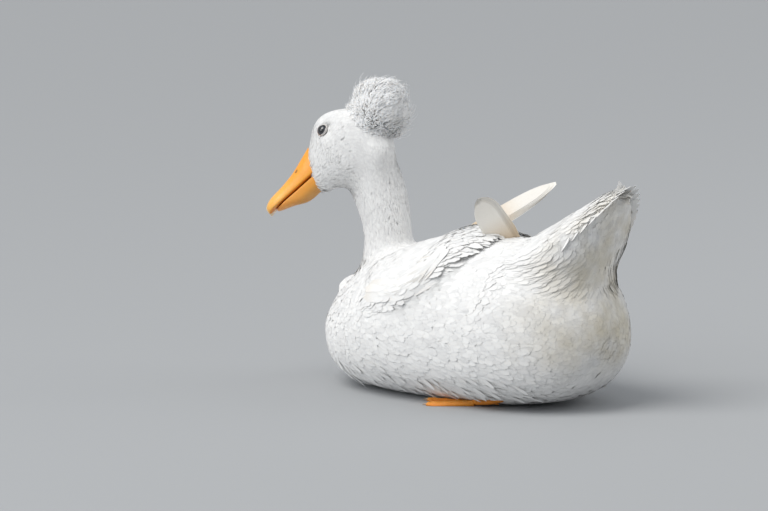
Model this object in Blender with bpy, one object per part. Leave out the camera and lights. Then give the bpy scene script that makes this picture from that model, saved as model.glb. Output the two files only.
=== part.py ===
"""A crested duck resting on its belly, life size, in metres: it heads along -X, with +Z up."""

import math

import bmesh
import bpy
from mathutils import Euler, Vector

# Gap between touching pieces, and the corners round a section
GAP = 0.0003
TRUNK_SIDES = 28
HEAD_SIDES = 22
BILL_SIDES = 20
BLADE_SIDES = 14

# Trunk: places from breast to vent, with half width, top, widest height, bottom and upper fullness
TRUNK_FRONT = -0.183
TRUNK_REAR = 0.172
TRUNK_END_LENGTH = 0.050
TRUNK_RINGS = 26
TRUNK_SIZES = (
    (-0.183, 0.049, 0.090, 0.056, 0.020, 1.7),
    (-0.160, 0.054, 0.104, 0.057, 0.012, 1.6),
    (-0.135, 0.072, 0.123, 0.060, 0.003, 1.6),
    (-0.089, 0.095, 0.138, 0.068, -0.003, 1.9),
    (-0.037, 0.102, 0.152, 0.074, -0.005, 2.1),
    (0.058, 0.101, 0.160, 0.076, -0.003, 2.1),
    (0.100, 0.092, 0.162, 0.075, 0.003, 2.0),
    (0.140, 0.075, 0.146, 0.071, 0.012, 1.9),
    (0.172, 0.066, 0.128, 0.068, 0.024, 1.9),
)
TRUNK_POWER_LOW = 2.4

# Tail: a tented fan with soft coverts below it, raised behind the rump, in the same columns
TAIL_FRONT = 0.060
TAIL_TIP = 0.198
TAIL_END_LENGTH = 0.022
TAIL_RINGS = 14
TAIL_SIZES = (
    (0.060, 0.050, 0.160, 0.140, 0.090, 1.35),
    (0.100, 0.060, 0.179, 0.150, 0.094, 1.35),
    (0.140, 0.059, 0.201, 0.170, 0.100, 1.35),
    (0.165, 0.050, 0.215, 0.186, 0.132, 1.35),
    (0.182, 0.034, 0.224, 0.204, 0.174, 1.35),
    (0.198, 0.020, 0.230, 0.221, 0.210, 1.35),
)
TAIL_POWER_LOW = 2.0

# Folded wings: how far they rise over the back and the sides, and their outline from the side
WING_FRONT = -0.101
WING_REAR = 0.034
WING_RINGS = 16
WING_RISE = (
    (-0.110, 0.0020, 0.0015),
    (-0.070, 0.0040, 0.0030),
    (-0.037, 0.0055, 0.0050),
    (-0.012, 0.0130, 0.0070),
    (0.010, 0.0165, 0.0070),
    (0.036, 0.0130, 0.0055),
)
WING_EDGE_LOW = 0.097
WING_EDGE_LOWEST_PLACE = -0.050
WING_EDGE_FRONT_RISE = 0.030
WING_EDGE_REAR_RISE = 0.066
WING_EDGE_POWERS = (3.0, 2.4)
WING_EDGE_STEPS = 18
WING_TOP = 0.25

# Neck: height, reach towards the face, half depth and half breadth
NECK_BASE = Vector((-0.114, 0.0, 0.0))
NECK_BOTTOM = 0.085
NECK_TOP = 0.236
NECK_END_LENGTH = 0.012
NECK_RINGS = 14
NECK_SIZES = (
    (0.085, 0.000, 0.036, 0.036),
    (0.120, 0.001, 0.0275, 0.0275),
    (0.145, 0.000, 0.0248, 0.0245),
    (0.162, 0.002, 0.0252, 0.0245),
    (0.187, 0.008, 0.0290, 0.0258),
    (0.212, 0.0145, 0.0305, 0.0260),
    (0.236, 0.022, 0.0270, 0.0230),
)

# Head: its centre and turn, then places from nape to bill with half width, top, widest, bottom, lean
HEAD_CENTRE = Vector((-0.155, -0.027, 0.239))
HEAD_TURN = 30.0
HEAD_PITCH = 43.0
HEAD_ROLL = 8.0
HEAD_BACK = -0.052
HEAD_FRONT = 0.044
HEAD_RINGS = 18
HEAD_SIZES = (
    (-0.052, 0.019, 0.016, -0.008, -0.030, 0.0),
    (-0.030, 0.0225, 0.0270, -0.006, -0.040, 0.0),
    (-0.010, 0.0235, 0.0368, -0.006, -0.043, 0.0),
    (0.005, 0.0225, 0.0360, -0.008, -0.042, 0.0),
    (0.018, 0.0190, 0.0300, -0.007, -0.0360, -0.10),
    (0.030, 0.0152, 0.0245, -0.004, -0.0265, -0.35),
    (0.044, 0.0120, 0.0190, -0.002, -0.0205, -0.55),
)
HEAD_BACK_LENGTH = 0.030
HEAD_FRONT_LENGTH = 0.006
HEAD_POWER_UP = 2.4
HEAD_POWER_LOW = 2.2

# Bill, along the head's own forward axis
BILL_ROOT = 0.026
BILL_TIP = 0.1015
BILL_LOWER_TIP = 0.0925
BILL_RINGS = 14
BILL_LINE = -0.0035
BILL_NAIL_DROP = 0.0022
BILL_UPPER_SIZES = (
    (0.026, 0.0100, 0.0215, -0.0015, BILL_LINE),
    (0.040, 0.0118, 0.0172, -0.0015, BILL_LINE),
    (0.055, 0.0112, 0.0128, -0.0012, BILL_LINE),
    (0.070, 0.0118, 0.0103, -0.0010, BILL_LINE),
    (0.086, 0.0138, 0.0090, -0.0012, BILL_LINE),
    (0.094, 0.0140, 0.0084, -0.0012, BILL_LINE),
    (0.1015, 0.0138, 0.0076, -0.0014, BILL_LINE - BILL_NAIL_DROP),
)
BILL_LOWER_SIZES = (
    (0.026, 0.0094, BILL_LINE - GAP, -0.0060, -0.0190),
    (0.045, 0.0108, BILL_LINE - GAP, -0.0058, -0.0206),
    (0.062, 0.0106, BILL_LINE - GAP, -0.0054, -0.0198),
    (0.078, 0.0116, BILL_LINE - GAP, -0.0050, -0.0125),
    (0.0925, 0.0122, BILL_LINE - GAP, -0.0048, -0.0082),
)
BILL_TIP_LENGTH = 0.016
BILL_TIP_THINNESS = 0.35
BILL_POWER_UP = 2.0
BILL_POWER_LOW = 2.2

# Eyes, in the head's own axes
EYE_PLACE = Vector((-0.0008, 0.0132, 0.0205))
EYE_RADIUS = 0.0068
EYE_SEGMENTS = 16
EYE_RINGS = 10

# Crest: a round tuft on the back of the head, with soft lobes
CREST_PLACE = Vector((-0.0558, 0.0, 0.0012))
CREST_RADII = Vector((0.031, 0.029, 0.033))
CREST_SEGMENTS = 26
CREST_RINGS = 16
CREST_LOBE = 0.030
CREST_LOBES = (9.0, 8.0, 10.0)
CREST_LOBE_SHIFTS = (1.0, 0.5)
CREST_TWIST = 3.0
CREST_NAPE = Vector((-0.58, 0.0, -0.81))
CREST_NAPE_REACH = 0.16
CREST_NAPE_NARROWNESS = 4

# Wing tips: root, tip, broad direction, half breadths and half thickness
BLADE_RINGS = 12
BLADE_THICKNESS = (0.0023, 0.0011)
BLADE_END_SHARE = 0.22
BLADES = {
    "primaries_left": {
        "root": Vector((-0.012, -0.012, 0.153)),
        "tip": Vector((0.074, 0.035, 0.215)),
        "broad": Vector((-0.45, 0.35, 0.80)),
        "breadths": ((0.0, 0.0110), (0.45, 0.0105), (0.75, 0.0085), (1.0, 0.0060)),
    },
    "primaries_right": {
        "root": Vector((0.044, 0.013, 0.138)),
        "tip": Vector((0.0375, -0.0435, 0.2045)),
        "broad": Vector((0.586, 0.609, 0.528)),
        "breadths": ((0.0, 0.0175), (0.35, 0.0175), (0.70, 0.0150), (1.0, 0.0120)),
    },
}

# Legs and webbed feet, folded forward under the belly
FOOT_HEEL = Vector((0.048, 0.056, 0.0))
FOOT_TURN = 8.0
TOE_ANGLES = (-27.0, 0.0, 27.0)
TOE_LENGTHS = (0.050, 0.060, 0.052)
WEB_NOTCH = 0.20
WEB_THICKNESS = 0.0022
FOOT_SIDE_ROUNDING = 0.006
TOE_HEIGHT = 0.0058
TOE_TIP_DROP = 0.45
TOE_HALF_ANGLE = 5.0
TOE_NARROWING = (0.4, 1.4)
FOOT_EDGE_ANGLE = 32.0
FOOT_SPOKES = 20
FOOT_STEPS = 4
HEEL_RADIUS = 0.005
LEG_RADIUS = 0.0047
HOCK_RADIUS = 0.0062
HOCK_PLACE = Vector((0.104, 0.050, 0.0100))
LEG_TOP = Vector((0.088, 0.050, 0.050))
LEG_FLOOR_GAP = 0.0006
LEG_RINGS = 12
LEG_SIDES = 12

# Half the size of a cutter that is larger than the bird
BEYOND = 0.6


def finish(name, colour, roughness):
    """Make one plain material with its colour and roughness."""
    material = bpy.data.materials.new(name)
    material.use_nodes = True
    shader = material.node_tree.nodes["Principled BSDF"]
    shader.inputs["Base Color"].default_value = (*colour, 1.0)
    shader.inputs["Roughness"].default_value = roughness
    shader.inputs["Metallic"].default_value = 0.0
    return material


def sizes_at(rows, place):
    """Read the sizes at one place from rows of (place, size, ...), on smooth curves through the rows."""
    last = len(rows) - 1
    index = 0
    while index < last - 1 and place > rows[index + 1][0]:
        index += 1
    near, far = rows[index], rows[index + 1]
    before = rows[max(index - 1, 0)]
    after = rows[min(index + 2, last)]
    span = far[0] - near[0]
    t = min(max((place - near[0]) / span, 0.0), 1.0)
    found = []
    for column in range(1, len(near)):
        slope_near = (far[column] - before[column]) / (far[0] - before[0]) * span
        slope_far = (after[column] - near[column]) / (after[0] - near[0]) * span
        value = (2 * t**3 - 3 * t**2 + 1) * near[column] + (t**3 - 2 * t**2 + t) * slope_near
        value += (3 * t**2 - 2 * t**3) * far[column] + (t**3 - t**2) * slope_far
        found.append(value)
    return found


def rounding(distance, length):
    """Shrink a section towards the end of its piece, so that the end is a dome."""
    left = max(0.0, 1.0 - distance / length)
    return math.sqrt(max(0.0, 1.0 - left * left))


def places(front, rear, count):
    """Space sections along a piece, closer together towards its two ends."""
    spaced = []
    for index in range(count):
        turn = math.pi * (index + 0.5) / count
        spaced.append(front + (rear - front) * (0.5 - 0.5 * math.cos(turn)))
    return spaced


def section(centre, side, up, sizes, powers, count):
    """Points round one section: half width, rise above its widest line and drop below it."""
    half_width, rise, drop = sizes
    points = []
    for index in range(count):
        angle = math.tau * index / count
        across, height = math.cos(angle), math.sin(angle)
        power = powers[0] if height > 0 else powers[1]
        reach = rise if height > 0 else drop
        y = math.copysign(abs(across) ** (2 / power), across) * half_width
        z = math.copysign(abs(height) ** (2 / power), height) * reach
        points.append(centre + side * y + up * z)
    return points


def loft(name, rings, ends, material, parent):
    """Join the sections of one piece with faces, and close both ends on a point."""
    mesh = bpy.data.meshes.new(name)
    work = bmesh.new()
    rows = [[work.verts.new(point) for point in ring] for ring in rings]
    count = len(rings[0])
    for row, following in zip(rows, rows[1:]):
        for index in range(count):
            after = (index + 1) % count
            work.faces.new((row[index], row[after], following[after], following[index]))
    for row, end in ((rows[0], ends[0]), (rows[-1], ends[1])):
        point = work.verts.new(end)
        for index in range(count):
            work.faces.new((row[index], row[(index + 1) % count], point))
    bmesh.ops.recalc_face_normals(work, faces=work.faces)
    work.to_mesh(mesh)
    work.free()
    return add_piece(name, mesh, material, parent)


def add_piece(name, mesh, material, parent):
    """Put one mesh in the duck's collection, shaded smooth, under its parent."""
    mesh.shade_smooth()
    mesh.materials.append(material)
    piece = bpy.data.objects.new(name, mesh)
    duck_pieces.objects.link(piece)
    piece.parent = parent
    return piece


def swollen(piece, by=GAP):
    """Copy a piece as a cutter whose surface lies a gap outside it."""
    mesh = piece.data.copy()
    for vertex, original in zip(mesh.vertices, piece.data.vertices):
        vertex.co = original.co + original.normal * by
    return add_cutter(piece.name + "_cutter", mesh, piece.parent)


def add_cutter(name, mesh, parent):
    """Keep a cutter out of the way, in its own collection."""
    cutter = bpy.data.objects.new(name, mesh)
    cutter.hide_render = True
    cutter.display_type = "WIRE"
    cutters.objects.link(cutter)
    cutter.parent = parent
    return cutter


def shape_by(piece, cutter, operation="DIFFERENCE"):
    """Cut a piece with a cutter, or keep what is common to both."""
    change = piece.modifiers.new(cutter.name, "BOOLEAN")
    change.operation = operation
    change.object = cutter
    change.solver = "EXACT"


def block(name, low, high):
    """A box cutter between two corners."""
    mesh = bpy.data.meshes.new(name)
    work = bmesh.new()
    bmesh.ops.create_cube(work, size=1.0)
    for vertex in work.verts:
        vertex.co = [low[k] + (vertex.co[k] + 0.5) * (high[k] - low[k]) for k in range(3)]
    work.to_mesh(mesh)
    work.free()
    return add_cutter(name, mesh, None)


def body_rings(rows, spaced, ends, power_low, rise=None):
    """Sections along X from a table of sizes, domed at both ends and lifted by a wing's rise."""
    front, rear, end_length = ends
    rings = []
    for x in spaced:
        half_width, top, widest, bottom, power_up = sizes_at(rows, x)
        round_off = rounding(x - front, end_length) * rounding(rear - x, end_length)
        sizes = [size * round_off for size in (half_width, top - widest, widest - bottom)]
        if rise:
            over_back, over_side = sizes_at(rise, x)
            sizes = [sizes[0] + over_side, sizes[1] + over_back, sizes[2]]
        centre = Vector((x, 0.0, widest))
        powers = (power_up, power_low)
        rings.append(section(centre, Vector((0, 1, 0)), Vector((0, 0, 1)), sizes, powers, TRUNK_SIDES))
    return rings


def body_ends(rows, front, rear):
    """The two points that close a piece of the body."""
    return [Vector((x, 0.0, sizes_at(rows, x)[2])) for x in (front, rear)]


def make_trunk(material):
    """Breast, back, belly and flanks in one rounded hull."""
    spaced = places(TRUNK_FRONT, TRUNK_REAR, TRUNK_RINGS)
    ends = (TRUNK_FRONT, TRUNK_REAR, TRUNK_END_LENGTH)
    rings = body_rings(TRUNK_SIZES, spaced, ends, TRUNK_POWER_LOW)
    return loft("trunk", rings, body_ends(TRUNK_SIZES, TRUNK_FRONT, TRUNK_REAR), material, duck)


def make_tail(material):
    """The raised tail fan with the coverts under it."""
    spaced = places(TAIL_FRONT, TAIL_TIP, TAIL_RINGS)
    ends = (TAIL_FRONT, TAIL_TIP, TAIL_END_LENGTH)
    rings = body_rings(TAIL_SIZES, spaced, ends, TAIL_POWER_LOW)
    return loft("tail", rings, body_ends(TAIL_SIZES, TAIL_FRONT, TAIL_TIP), material, duck)


def make_wing(name, material):
    """A mantle of wing feathers that follows the back, to be parted into the two wings."""
    low, high = WING_RISE[0][0], WING_RISE[-1][0]
    spaced = [low + (high - low) * index / (WING_RINGS - 1) for index in range(WING_RINGS)]
    ends = (TRUNK_FRONT, TRUNK_REAR, TRUNK_END_LENGTH)
    rings = body_rings(TRUNK_SIZES, spaced, ends, TRUNK_POWER_LOW, WING_RISE)
    return loft(name, rings, body_ends(TRUNK_SIZES, low, high), material, duck)


def wing_edge(x):
    """Height of a wing's lower edge, which curves up to the shoulder and to the rump."""
    if x < WING_EDGE_LOWEST_PLACE:
        t = (WING_EDGE_LOWEST_PLACE - x) / (WING_EDGE_LOWEST_PLACE - WING_FRONT)
        return WING_EDGE_LOW + WING_EDGE_FRONT_RISE * t ** WING_EDGE_POWERS[0]
    t = (x - WING_EDGE_LOWEST_PLACE) / (WING_REAR - WING_EDGE_LOWEST_PLACE)
    return WING_EDGE_LOW + WING_EDGE_REAR_RISE * t ** WING_EDGE_POWERS[1]


def make_wing_outline(name, side):
    """A cutter that keeps one wing: its outline from the side, on its own side of the middle."""
    mesh = bpy.data.meshes.new(name)
    work = bmesh.new()
    outline = [(WING_REAR, WING_TOP), (WING_FRONT, WING_TOP)]
    for step in range(WING_EDGE_STEPS + 1):
        x = WING_FRONT + (WING_REAR - WING_FRONT) * step / WING_EDGE_STEPS
        outline.append((x, wing_edge(x)))
    inner = [work.verts.new((x, side * GAP, z)) for x, z in outline]
    work.faces.new(inner)
    added = bmesh.ops.extrude_face_region(work, geom=list(work.faces))
    for item in added["geom"]:
        if isinstance(item, bmesh.types.BMVert):
            item.co.y = side * BEYOND
    bmesh.ops.recalc_face_normals(work, faces=work.faces)
    work.to_mesh(mesh)
    work.free()
    return add_cutter(name, mesh, duck)


def make_neck(material):
    """The upright neck, which leans towards the face as it rises."""
    face = Vector((-math.cos(math.radians(HEAD_TURN)), -math.sin(math.radians(HEAD_TURN)), 0.0))
    left = Vector((0, 0, 1)).cross(face)
    rings = []
    for z in places(NECK_BOTTOM, NECK_TOP, NECK_RINGS):
        reach, depth, breadth = sizes_at(NECK_SIZES, z)
        round_off = rounding(z - NECK_BOTTOM, NECK_END_LENGTH) * rounding(NECK_TOP - z, NECK_END_LENGTH)
        centre = NECK_BASE + face * reach + Vector((0, 0, z))
        sizes = (breadth * round_off, depth * round_off, depth * round_off)
        rings.append(section(centre, left, face, sizes, (2.0, 2.0), HEAD_SIDES))
    ends = []
    for z in (NECK_BOTTOM, NECK_TOP):
        ends.append(NECK_BASE + face * sizes_at(NECK_SIZES, z)[0] + Vector((0, 0, z)))
    return loft("neck", rings, ends, material, duck)


def make_head(material):
    """Cheeks, crown and forehead, in the head's own axes."""
    rings = []
    for s in places(HEAD_BACK, HEAD_FRONT, HEAD_RINGS):
        half_width, top, widest, bottom, lean = sizes_at(HEAD_SIZES, s)
        round_off = rounding(s - HEAD_BACK, HEAD_BACK_LENGTH) * rounding(HEAD_FRONT - s, HEAD_FRONT_LENGTH)
        sizes = [size * round_off for size in (half_width, top - widest, widest - bottom)]
        up = Vector((lean, 0.0, 1.0))
        powers = (HEAD_POWER_UP, HEAD_POWER_LOW)
        rings.append(section(Vector((s, 0, widest)), Vector((0, 1, 0)), up, sizes, powers, HEAD_SIDES))
    ends = [Vector((s, 0.0, sizes_at(HEAD_SIZES, s)[2])) for s in (HEAD_BACK, HEAD_FRONT)]
    return loft("head", rings, ends, material, head_axes)


def make_bill(name, rows, tip, material):
    """One half of the bill, from its hidden root to its rounded tip, full along the mouth line."""
    rings = []
    for s in places(BILL_ROOT, tip, BILL_RINGS):
        half_width, top, widest, bottom = sizes_at(rows, s)
        round_off = rounding(tip - s, BILL_TIP_LENGTH)
        thinning = BILL_TIP_THINNESS + (1.0 - BILL_TIP_THINNESS) * round_off
        rise, drop = top - widest, widest - bottom
        if top > 0:
            rise *= thinning
        else:
            drop *= thinning
        sizes = (half_width * round_off, rise, drop)
        centre = Vector((s, 0.0, widest))
        powers = (BILL_POWER_UP, BILL_POWER_LOW)
        rings.append(section(centre, Vector((0, 1, 0)), Vector((0, 0, 1)), sizes, powers, BILL_SIDES))
    ends = [Vector((s, 0.0, sizes_at(rows, s)[2])) for s in (BILL_ROOT, tip)]
    return loft(name, rings, ends, material, head_axes)


def make_eye(name, side, material):
    """One eyeball, set in its socket."""
    mesh = bpy.data.meshes.new(name)
    work = bmesh.new()
    bmesh.ops.create_uvsphere(work, u_segments=EYE_SEGMENTS, v_segments=EYE_RINGS, radius=EYE_RADIUS)
    work.to_mesh(mesh)
    work.free()
    eye = add_piece(name, mesh, material, head_axes)
    eye.location = (EYE_PLACE.x, side * EYE_PLACE.y, EYE_PLACE.z)
    return eye


def make_crest(material):
    """The round tuft on the back of the head, drawn out a little towards the nape."""
    mesh = bpy.data.meshes.new("crest")
    work = bmesh.new()
    bmesh.ops.create_uvsphere(work, u_segments=CREST_SEGMENTS, v_segments=CREST_RINGS, radius=1.0)
    for vertex in work.verts:
        way = vertex.co.normalized()
        lengthwise = math.sin(CREST_LOBES[0] * way.x + CREST_LOBE_SHIFTS[0])
        crosswise = math.sin(CREST_LOBES[1] * way.y + CREST_LOBE_SHIFTS[1])
        lobes = lengthwise * crosswise + math.sin(CREST_LOBES[2] * way.z + CREST_TWIST * way.x)
        towards_nape = max(0.0, way.dot(CREST_NAPE)) ** CREST_NAPE_NARROWNESS
        reach = 1.0 + CREST_LOBE * lobes + CREST_NAPE_REACH * towards_nape
        vertex.co = Vector([way[k] * CREST_RADII[k] * reach for k in range(3)])
    work.to_mesh(mesh)
    work.free()
    crest = add_piece("crest", mesh, material, head_axes)
    crest.location = CREST_PLACE
    crest.rotation_euler = (0.0, -math.radians(HEAD_PITCH), 0.0)
    return crest


def make_blade(name, material):
    """One wing's long flight feathers, closed into a single curved blade."""
    blade = BLADES[name]
    along = blade["tip"] - blade["root"]
    way = along.normalized()
    broad = (blade["broad"] - way * blade["broad"].dot(way)).normalized()
    face = way.cross(broad)
    rings = []
    for t in places(0.0, 1.0, BLADE_RINGS):
        breadth = sizes_at(blade["breadths"], t)[0] * rounding(1.0 - t, BLADE_END_SHARE)
        thickness = BLADE_THICKNESS[0] + (BLADE_THICKNESS[1] - BLADE_THICKNESS[0]) * t
        centre = blade["root"] + along * t
        sizes = (breadth, thickness, thickness)
        rings.append(section(centre, broad, face, sizes, (2.0, 2.0), BLADE_SIDES))
    return loft(name, rings, (blade["root"], blade["tip"]), material, duck)


def foot_reach(angle):
    """Length of the foot at an angle across it: longest at each toe, notched in the web between."""
    toes = list(zip(TOE_ANGLES, TOE_LENGTHS))
    if angle <= toes[0][0] or angle >= toes[-1][0]:
        nearest = toes[0] if angle <= toes[0][0] else toes[-1]
        return nearest[1] * (1.0 - FOOT_SIDE_ROUNDING * (angle - nearest[0]) ** 2)
    for (low, low_length), (high, high_length) in zip(toes, toes[1:]):
        if low <= angle <= high:
            t = (angle - low) / (high - low)
            between = low_length + (high_length - low_length) * t
            return between * (1.0 - WEB_NOTCH * math.sin(math.pi * t))
    return 0.0


def foot_height(angle, t):
    """Height of the foot's upper side: high on a toe, thin in the web."""
    nearest = min(abs(angle - toe) for toe in TOE_ANGLES)
    narrowing = TOE_NARROWING[0] + (TOE_NARROWING[1] - TOE_NARROWING[0]) * t
    ridge = math.exp(-((nearest / TOE_HALF_ANGLE) ** 2) * narrowing)
    return WEB_THICKNESS + (TOE_HEIGHT - WEB_THICKNESS) * ridge * (1.0 - TOE_TIP_DROP * t)


def make_foot(name, side, material):
    """Three toes joined by web, flat on the floor and pointing forward."""
    mesh = bpy.data.meshes.new(name)
    work = bmesh.new()
    soles, tops = [], []
    for spoke in range(FOOT_SPOKES + 1):
        angle = -FOOT_EDGE_ANGLE + 2 * FOOT_EDGE_ANGLE * spoke / FOOT_SPOKES
        turned = math.radians(angle + FOOT_TURN)
        way = Vector((-math.cos(turned), side * math.sin(turned), 0.0))
        sole_row, top_row = [], []
        for step in range(FOOT_STEPS + 1):
            t = step / FOOT_STEPS
            reach = HEEL_RADIUS + (foot_reach(angle) - HEEL_RADIUS) * t
            sole_row.append(work.verts.new(way * reach))
            top_row.append(work.verts.new(way * reach + Vector((0, 0, foot_height(angle, t)))))
        soles.append(sole_row)
        tops.append(top_row)
    for spoke in range(FOOT_SPOKES):
        for step in range(FOOT_STEPS):
            for grid in (soles, tops):
                corners = (grid[spoke][step], grid[spoke][step + 1])
                work.faces.new((*corners, grid[spoke + 1][step + 1], grid[spoke + 1][step]))
        for step in (0, FOOT_STEPS):
            corners = (soles[spoke][step], tops[spoke][step])
            work.faces.new((*corners, tops[spoke + 1][step], soles[spoke + 1][step]))
    for spoke in (0, FOOT_SPOKES):
        for step in range(FOOT_STEPS):
            corners = (soles[spoke][step], tops[spoke][step])
            work.faces.new((*corners, tops[spoke][step + 1], soles[spoke][step + 1]))
    bmesh.ops.recalc_face_normals(work, faces=work.faces)
    work.to_mesh(mesh)
    work.free()
    foot = add_piece(name, mesh, material, duck)
    foot.location = (FOOT_HEEL.x, side * FOOT_HEEL.y, 0.0)
    return foot


def make_leg(name, side, material):
    """The shank along the floor, the hock behind it and the start of the drumstick."""
    heel = Vector((FOOT_HEEL.x, side * FOOT_HEEL.y, LEG_RADIUS + LEG_FLOOR_GAP))
    hock = Vector((HOCK_PLACE.x, side * HOCK_PLACE.y, HOCK_PLACE.z))
    top = Vector((LEG_TOP.x, side * LEG_TOP.y, LEG_TOP.z))
    rings = []
    for t in places(0.0, 1.0, LEG_RINGS):
        centre = heel * (1 - t) ** 2 + hock * 2 * t * (1 - t) + top * t**2
        way = ((hock - heel) * 2 * (1 - t) + (top - hock) * 2 * t).normalized()
        across = Vector((0, 0, 1)).cross(way).normalized()
        radius = LEG_RADIUS + (HOCK_RADIUS - LEG_RADIUS) * math.sin(math.pi * t)
        rings.append(section(centre, across, way.cross(across), (radius,) * 3, (2.0, 2.0), LEG_SIDES))
    return loft(name, rings, (heel, top), material, duck)


def add_empty(name):
    """An empty that carries pieces placed in one set of axes."""
    empty = bpy.data.objects.new(name, None)
    duck_pieces.objects.link(empty)
    return empty


for old in list(bpy.data.objects):
    bpy.data.objects.remove(old)

duck_pieces = bpy.data.collections.new("crested_duck")
cutters = bpy.data.collections.new("cutters")
bpy.context.scene.collection.children.link(duck_pieces)
bpy.context.scene.collection.children.link(cutters)

duck = add_empty("duck")
head_axes = add_empty("head_axes")
head_axes.parent = duck
head_axes.location = HEAD_CENTRE
head_axes.rotation_euler = Euler(
    (math.radians(HEAD_ROLL), math.radians(HEAD_PITCH), math.radians(180.0 + HEAD_TURN)), "XYZ"
)

white = finish("white_feather", (0.90, 0.90, 0.88), 0.8)
cream = finish("flight_feather", (0.88, 0.83, 0.74), 0.7)
orange = finish("orange_bill", (0.95, 0.55, 0.12), 0.45)
leg_orange = finish("orange_leg", (0.90, 0.42, 0.10), 0.55)
eye_dark = finish("dark_eye", (0.03, 0.04, 0.06), 0.1)

trunk = make_trunk(white)
tail = make_tail(white)
neck = make_neck(white)
head = make_head(white)
crest = make_crest(white)
bill_upper = make_bill("bill_upper", BILL_UPPER_SIZES, BILL_TIP, orange)
bill_lower = make_bill("bill_lower", BILL_LOWER_SIZES, BILL_LOWER_TIP, orange)

trunk_cutter = swollen(trunk)
head_cutter = swollen(head)
neck_cutter = swollen(neck)
floor = block("floor", (-BEYOND, -BEYOND, -BEYOND), (BEYOND, BEYOND, 0.0))
shape_by(trunk, floor)

shape_by(tail, trunk_cutter)
shape_by(neck, trunk_cutter)
shape_by(neck, head_cutter)
for bill in (bill_upper, bill_lower):
    shape_by(bill, head_cutter)
shape_by(crest, head_cutter)
shape_by(crest, neck_cutter)

for side_name, side in (("left", -1), ("right", 1)):
    eye = make_eye("eye_" + side_name, -side, eye_dark)
    socket = swollen(eye)
    socket.location = eye.location
    shape_by(head, socket)

    wing = make_wing("wing_" + side_name, white)
    blade_cutter = swollen(wing)
    shape_by(wing, make_wing_outline("wing_outline_" + side_name, side), "INTERSECT")
    shape_by(wing, trunk_cutter)
    shape_by(wing, neck_cutter)

    foot = make_foot("foot_" + side_name, side, leg_orange)
    foot_cutter = swollen(foot)
    foot_cutter.location = foot.location
    leg = make_leg("leg_" + side_name, side, leg_orange)
    shape_by(trunk, foot_cutter)
    shape_by(leg, trunk_cutter)
    shape_by(leg, foot_cutter)

    blade = make_blade("primaries_" + side_name, cream)
    shape_by(blade, trunk_cutter)
    shape_by(blade, blade_cutter)
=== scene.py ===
import math

import bmesh
import bpy
import numpy as np
from mathutils import Euler, Matrix, Vector
from mathutils.bvhtree import BVHTree


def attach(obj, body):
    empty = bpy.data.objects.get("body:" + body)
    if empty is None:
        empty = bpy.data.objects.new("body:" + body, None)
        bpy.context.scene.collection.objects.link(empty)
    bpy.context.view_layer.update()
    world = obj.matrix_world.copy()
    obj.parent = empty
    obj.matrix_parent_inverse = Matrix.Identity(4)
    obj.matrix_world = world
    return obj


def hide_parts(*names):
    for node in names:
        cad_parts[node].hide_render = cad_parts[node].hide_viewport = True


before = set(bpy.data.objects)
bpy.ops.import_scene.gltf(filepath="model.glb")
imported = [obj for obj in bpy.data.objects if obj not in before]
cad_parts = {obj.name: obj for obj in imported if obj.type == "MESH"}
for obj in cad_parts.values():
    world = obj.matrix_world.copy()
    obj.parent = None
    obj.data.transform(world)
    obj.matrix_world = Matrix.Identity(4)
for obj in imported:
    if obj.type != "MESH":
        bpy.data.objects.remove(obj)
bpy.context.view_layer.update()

# Skin
# The bird's own surface under its plumage: one soft hide from the bill's base to the tail, with no seam.
# It is made from copies of the fleshy parts, run together, smoothed and drawn in by the depth of the coat.
HEAD_CENTRE = Vector((-0.155, -0.027, 0.239))
HEAD_TURN, HEAD_PITCH, HEAD_ROLL = math.radians(30.0), math.radians(43.0), math.radians(8.0)
head_turned = Euler((HEAD_ROLL, HEAD_PITCH, math.pi + HEAD_TURN), "XYZ").to_matrix()
head_axes = Matrix.Translation(HEAD_CENTRE) @ head_turned.to_4x4()
FORWARD, LEFT, CROWN = (np.array(head_turned.col[k]) for k in range(3))
CREST_CENTRE = np.array(head_axes @ Vector((-0.0558, 0.0, 0.0012)))

FLESH = ("trunk", "neck", "head", "crest", "tail", "wing_left", "wing_right")
SWELL = 0.0007
SKIN_VOXEL = 0.0024
SKIN_SMOOTHING = 14
NAPE_PLACE = np.array((-0.100, -0.004, 0.222))
NAPE_REACH = 0.022
NAPE_SMOOTHING = 70
CREST_CUSHION = 0.78
BREAST_HOLLOW = (60, -0.160, -0.120, 0.100)
WING_HOLLOW = (260, 0.022, 0.045, 0.060)
WING_END_HOLLOW = (260, 0.026, 0.045, 0.060)
TAIL_HOLLOW = (260, 0.050, 0.080, 0.060)
HOLLOWS = (BREAST_HOLLOW, WING_HOLLOW, WING_HOLLOW, WING_END_HOLLOW, TAIL_HOLLOW, TAIL_HOLLOW, TAIL_HOLLOW)
HOLLOW_EDGE, SHOULDER_PLACE, NAPE_HEIGHTS = 0.020, -0.060, (0.185, 0.200)
AFTER_FILLING = 3
TAIL_SMOOTHING, TAIL_PLACES, TAIL_HEIGHTS = 30, (0.080, 0.110), (0.110, 0.140)
FAR_WING_DROP = 0.0065
FAR_WING_SIDES, FAR_WING_HEIGHTS = (0.012, 0.030), (0.135, 0.150)
FAR_WING_PLACES = (-0.015, 0.015, 0.040, 0.060)
NAPE_FILLS, NAPE_FILL_REACH = (240, 240, 240), (0.026, 0.045)
NAPE_HOLLOW = np.array((-0.105, -0.010, 0.239))
NAPE_FLESH, NAPE_RADIUS = Vector((-0.1136, -0.014, 0.2368)), 0.0198
TAIL_ROOT = Vector((0.050, 0.0, 0.150))
TAIL_FLESH = Vector((0.93, 0.96, 1.0))
BELLY_HEIGHT = 0.0012
HEAD_MIDDLE, HEAD_REACH = np.array([-0.006, 0.0, -0.006]), (0.040, 0.064)
CREST_REACH, CREST_BEHIND = (0.026, 0.034), (0.020, 0.034)
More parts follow.
